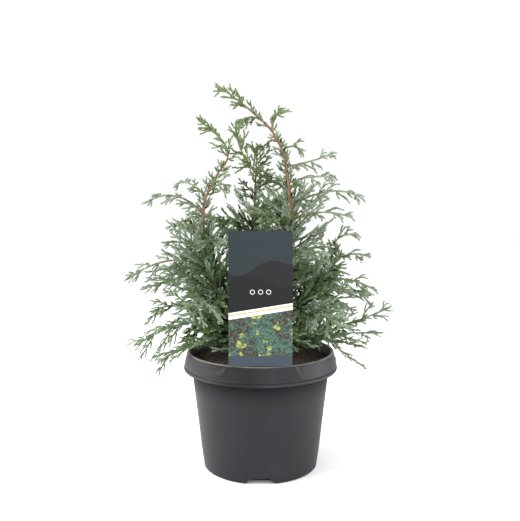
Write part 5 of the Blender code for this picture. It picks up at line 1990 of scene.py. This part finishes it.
def build_stage(settings):
    """A pale floor, a white surround, four soft lights and the photograph's camera."""
    scene = bpy.context.scene
    finish = Finish("floor_paper", 0.9, specular=0.1)
    finish.colour(finish.mix(finish.noise(0.4), settings.floor, tone(settings.floor, 0.99)))
    angles = np.linspace(0.0, tau, PAPER_SIDES, endpoint=False)
    corners = PAPER_RADIUS * np.stack((np.cos(angles), np.sin(angles), np.zeros(PAPER_SIDES)), axis=1)
    corners[:, 2] = -PAPER_DROP
    mesh = bpy.data.meshes.new("floor")
    mesh.from_pydata([tuple(corner) for corner in corners], [], [tuple(range(PAPER_SIDES))])
    mesh.materials.append(finish.material)
    floor = bpy.data.objects.new("floor", mesh)
    scene.collection.objects.link(floor)

    world = bpy.data.worlds.new("white_surround")
    world.use_nodes = True
    background = world.node_tree.nodes["Background"]
    background.inputs["Color"].default_value = (1.0, 1.0, 1.0, 1.0)
    background.inputs["Strength"].default_value = settings.surround
    scene.world = world
    scene.view_settings.view_transform = "Standard"

    for name, place, size, power in (
        ("key_light", (-1.3, -0.5, 1.2), 1.1, settings.key_power),
        ("fill_light", (1.35, -0.15, 0.25), 1.0, settings.fill_power),
        ("edge_light", (-1.0, 0.25, 0.4), 0.8, settings.edge_power),
        ("front_light", (0.35, -1.25, 0.55), 0.9, settings.front_power),
    ):
        light = bpy.data.lights.new(name, "AREA")
        light.size = size
        light.energy = power
        lamp = bpy.data.objects.new(name, light)
        lamp.location = place
        aim = LIGHTS_AIM * UP - np.array(place)
        steepness = acos(-aim[2] / np.linalg.norm(aim))
        lamp.rotation_euler = (steepness, 0.0, atan2(aim[1], aim[0]) - pi / 2)
        scene.collection.objects.link(lamp)

    camera_data = bpy.data.cameras.new("camera")
    camera_data.sensor_width = SENSOR_WIDTH
    camera_data.lens = FOCAL_PIXELS * SENSOR_WIDTH / IMAGE_LONG_SIDE
    camera = bpy.data.objects.new("camera", camera_data)
    camera.location = CAMERA_PLACE
    camera.rotation_euler = (pi / 2 - CAMERA_DOWN, 0.0, 0.0)
    scene.collection.objects.link(camera)
    scene.camera = camera


# Operators, panel and registration


class CYPRESS_OT_pot(Operator):
    """Builds the pot's shell with its collar, panels and foot notches."""

    bl_idname = "cypress.build_pot"
    bl_label = "Build pot"

    def execute(self, context):
        build_pot(context.scene.cypress.pot)
        return {"FINISHED"}


class CYPRESS_OT_compost(Operator):
    """Builds the compost with its crumbs and bark chips."""

    bl_idname = "cypress.build_compost"
    bl_label = "Build compost"

    def execute(self, context):
        build_compost(context.scene.cypress.compost)
        return {"FINISHED"}


class CYPRESS_OT_card(Operator):
    """Builds the care card and its stake."""

    bl_idname = "cypress.build_card"
    bl_label = "Build care card"

    def execute(self, context):
        build_card(context.scene.cypress.card)
        return {"FINISHED"}


class CYPRESS_OT_bark(Operator):
    """Builds the bark of the trunk, the stems and the boughs."""

    bl_idname = "cypress.build_bark"
    bl_label = "Build bark"

    def execute(self, context):
        build_bark(context.scene.cypress.bark)
        return {"FINISHED"}


class CYPRESS_OT_foliage(Operator):
    """Grows the twigs, shoots, sprigs and leaves."""

    bl_idname = "cypress.grow_foliage"
    bl_label = "Grow foliage"

    def execute(self, context):
        build_foliage(context.scene.cypress.foliage)
        return {"FINISHED"}


class CYPRESS_OT_stage(Operator):
    """Sets up the floor, the surround, the lights and the camera."""

    bl_idname = "cypress.set_stage"
    bl_label = "Set stage"

    def execute(self, context):
        build_stage(context.scene.cypress.stage)
        return {"FINISHED"}


OPERATORS = (
    CYPRESS_OT_pot,
    CYPRESS_OT_compost,
    CYPRESS_OT_card,
    CYPRESS_OT_bark,
    CYPRESS_OT_foliage,
    CYPRESS_OT_stage,
)


class VIEW3D_PT_cypress(Panel):
    """Lists the builders and their settings in the sidebar."""

    bl_label = "Potted cypress"
    bl_space_type = "VIEW_3D"
    bl_region_type = "UI"
    bl_category = "Cypress"

    def draw(self, context):
        settings = context.scene.cypress
        for operator, group_name in zip(OPERATORS, ("pot", "compost", "card", "bark", "foliage", "stage")):
            group = getattr(settings, group_name)
            box = self.layout.box()
            box.operator(operator.bl_idname)
            for name in group.bl_rna.properties.keys():
                if name not in ("rna_type", "name"):
                    box.prop(group, name)


CLASSES = (
    PotSettings,
    CompostSettings,
    CardSettings,
    BarkSettings,
    FoliageSettings,
    StageSettings,
    CypressSettings,
    *OPERATORS,
    VIEW3D_PT_cypress,
)


def register():
    for each in CLASSES:
        bpy.utils.register_class(each)
    bpy.types.Scene.cypress = PointerProperty(type=CypressSettings)


def unregister():
    del bpy.types.Scene.cypress
    for each in reversed(CLASSES):
        bpy.utils.unregister_class(each)


def main():
    register()
    bpy.ops.cypress.build_pot()
    bpy.ops.cypress.build_compost()
    bpy.ops.cypress.build_card()
    bpy.ops.cypress.build_bark()
    bpy.ops.cypress.grow_foliage()
    bpy.ops.cypress.set_stage()


if __name__ == "__main__":
    main()
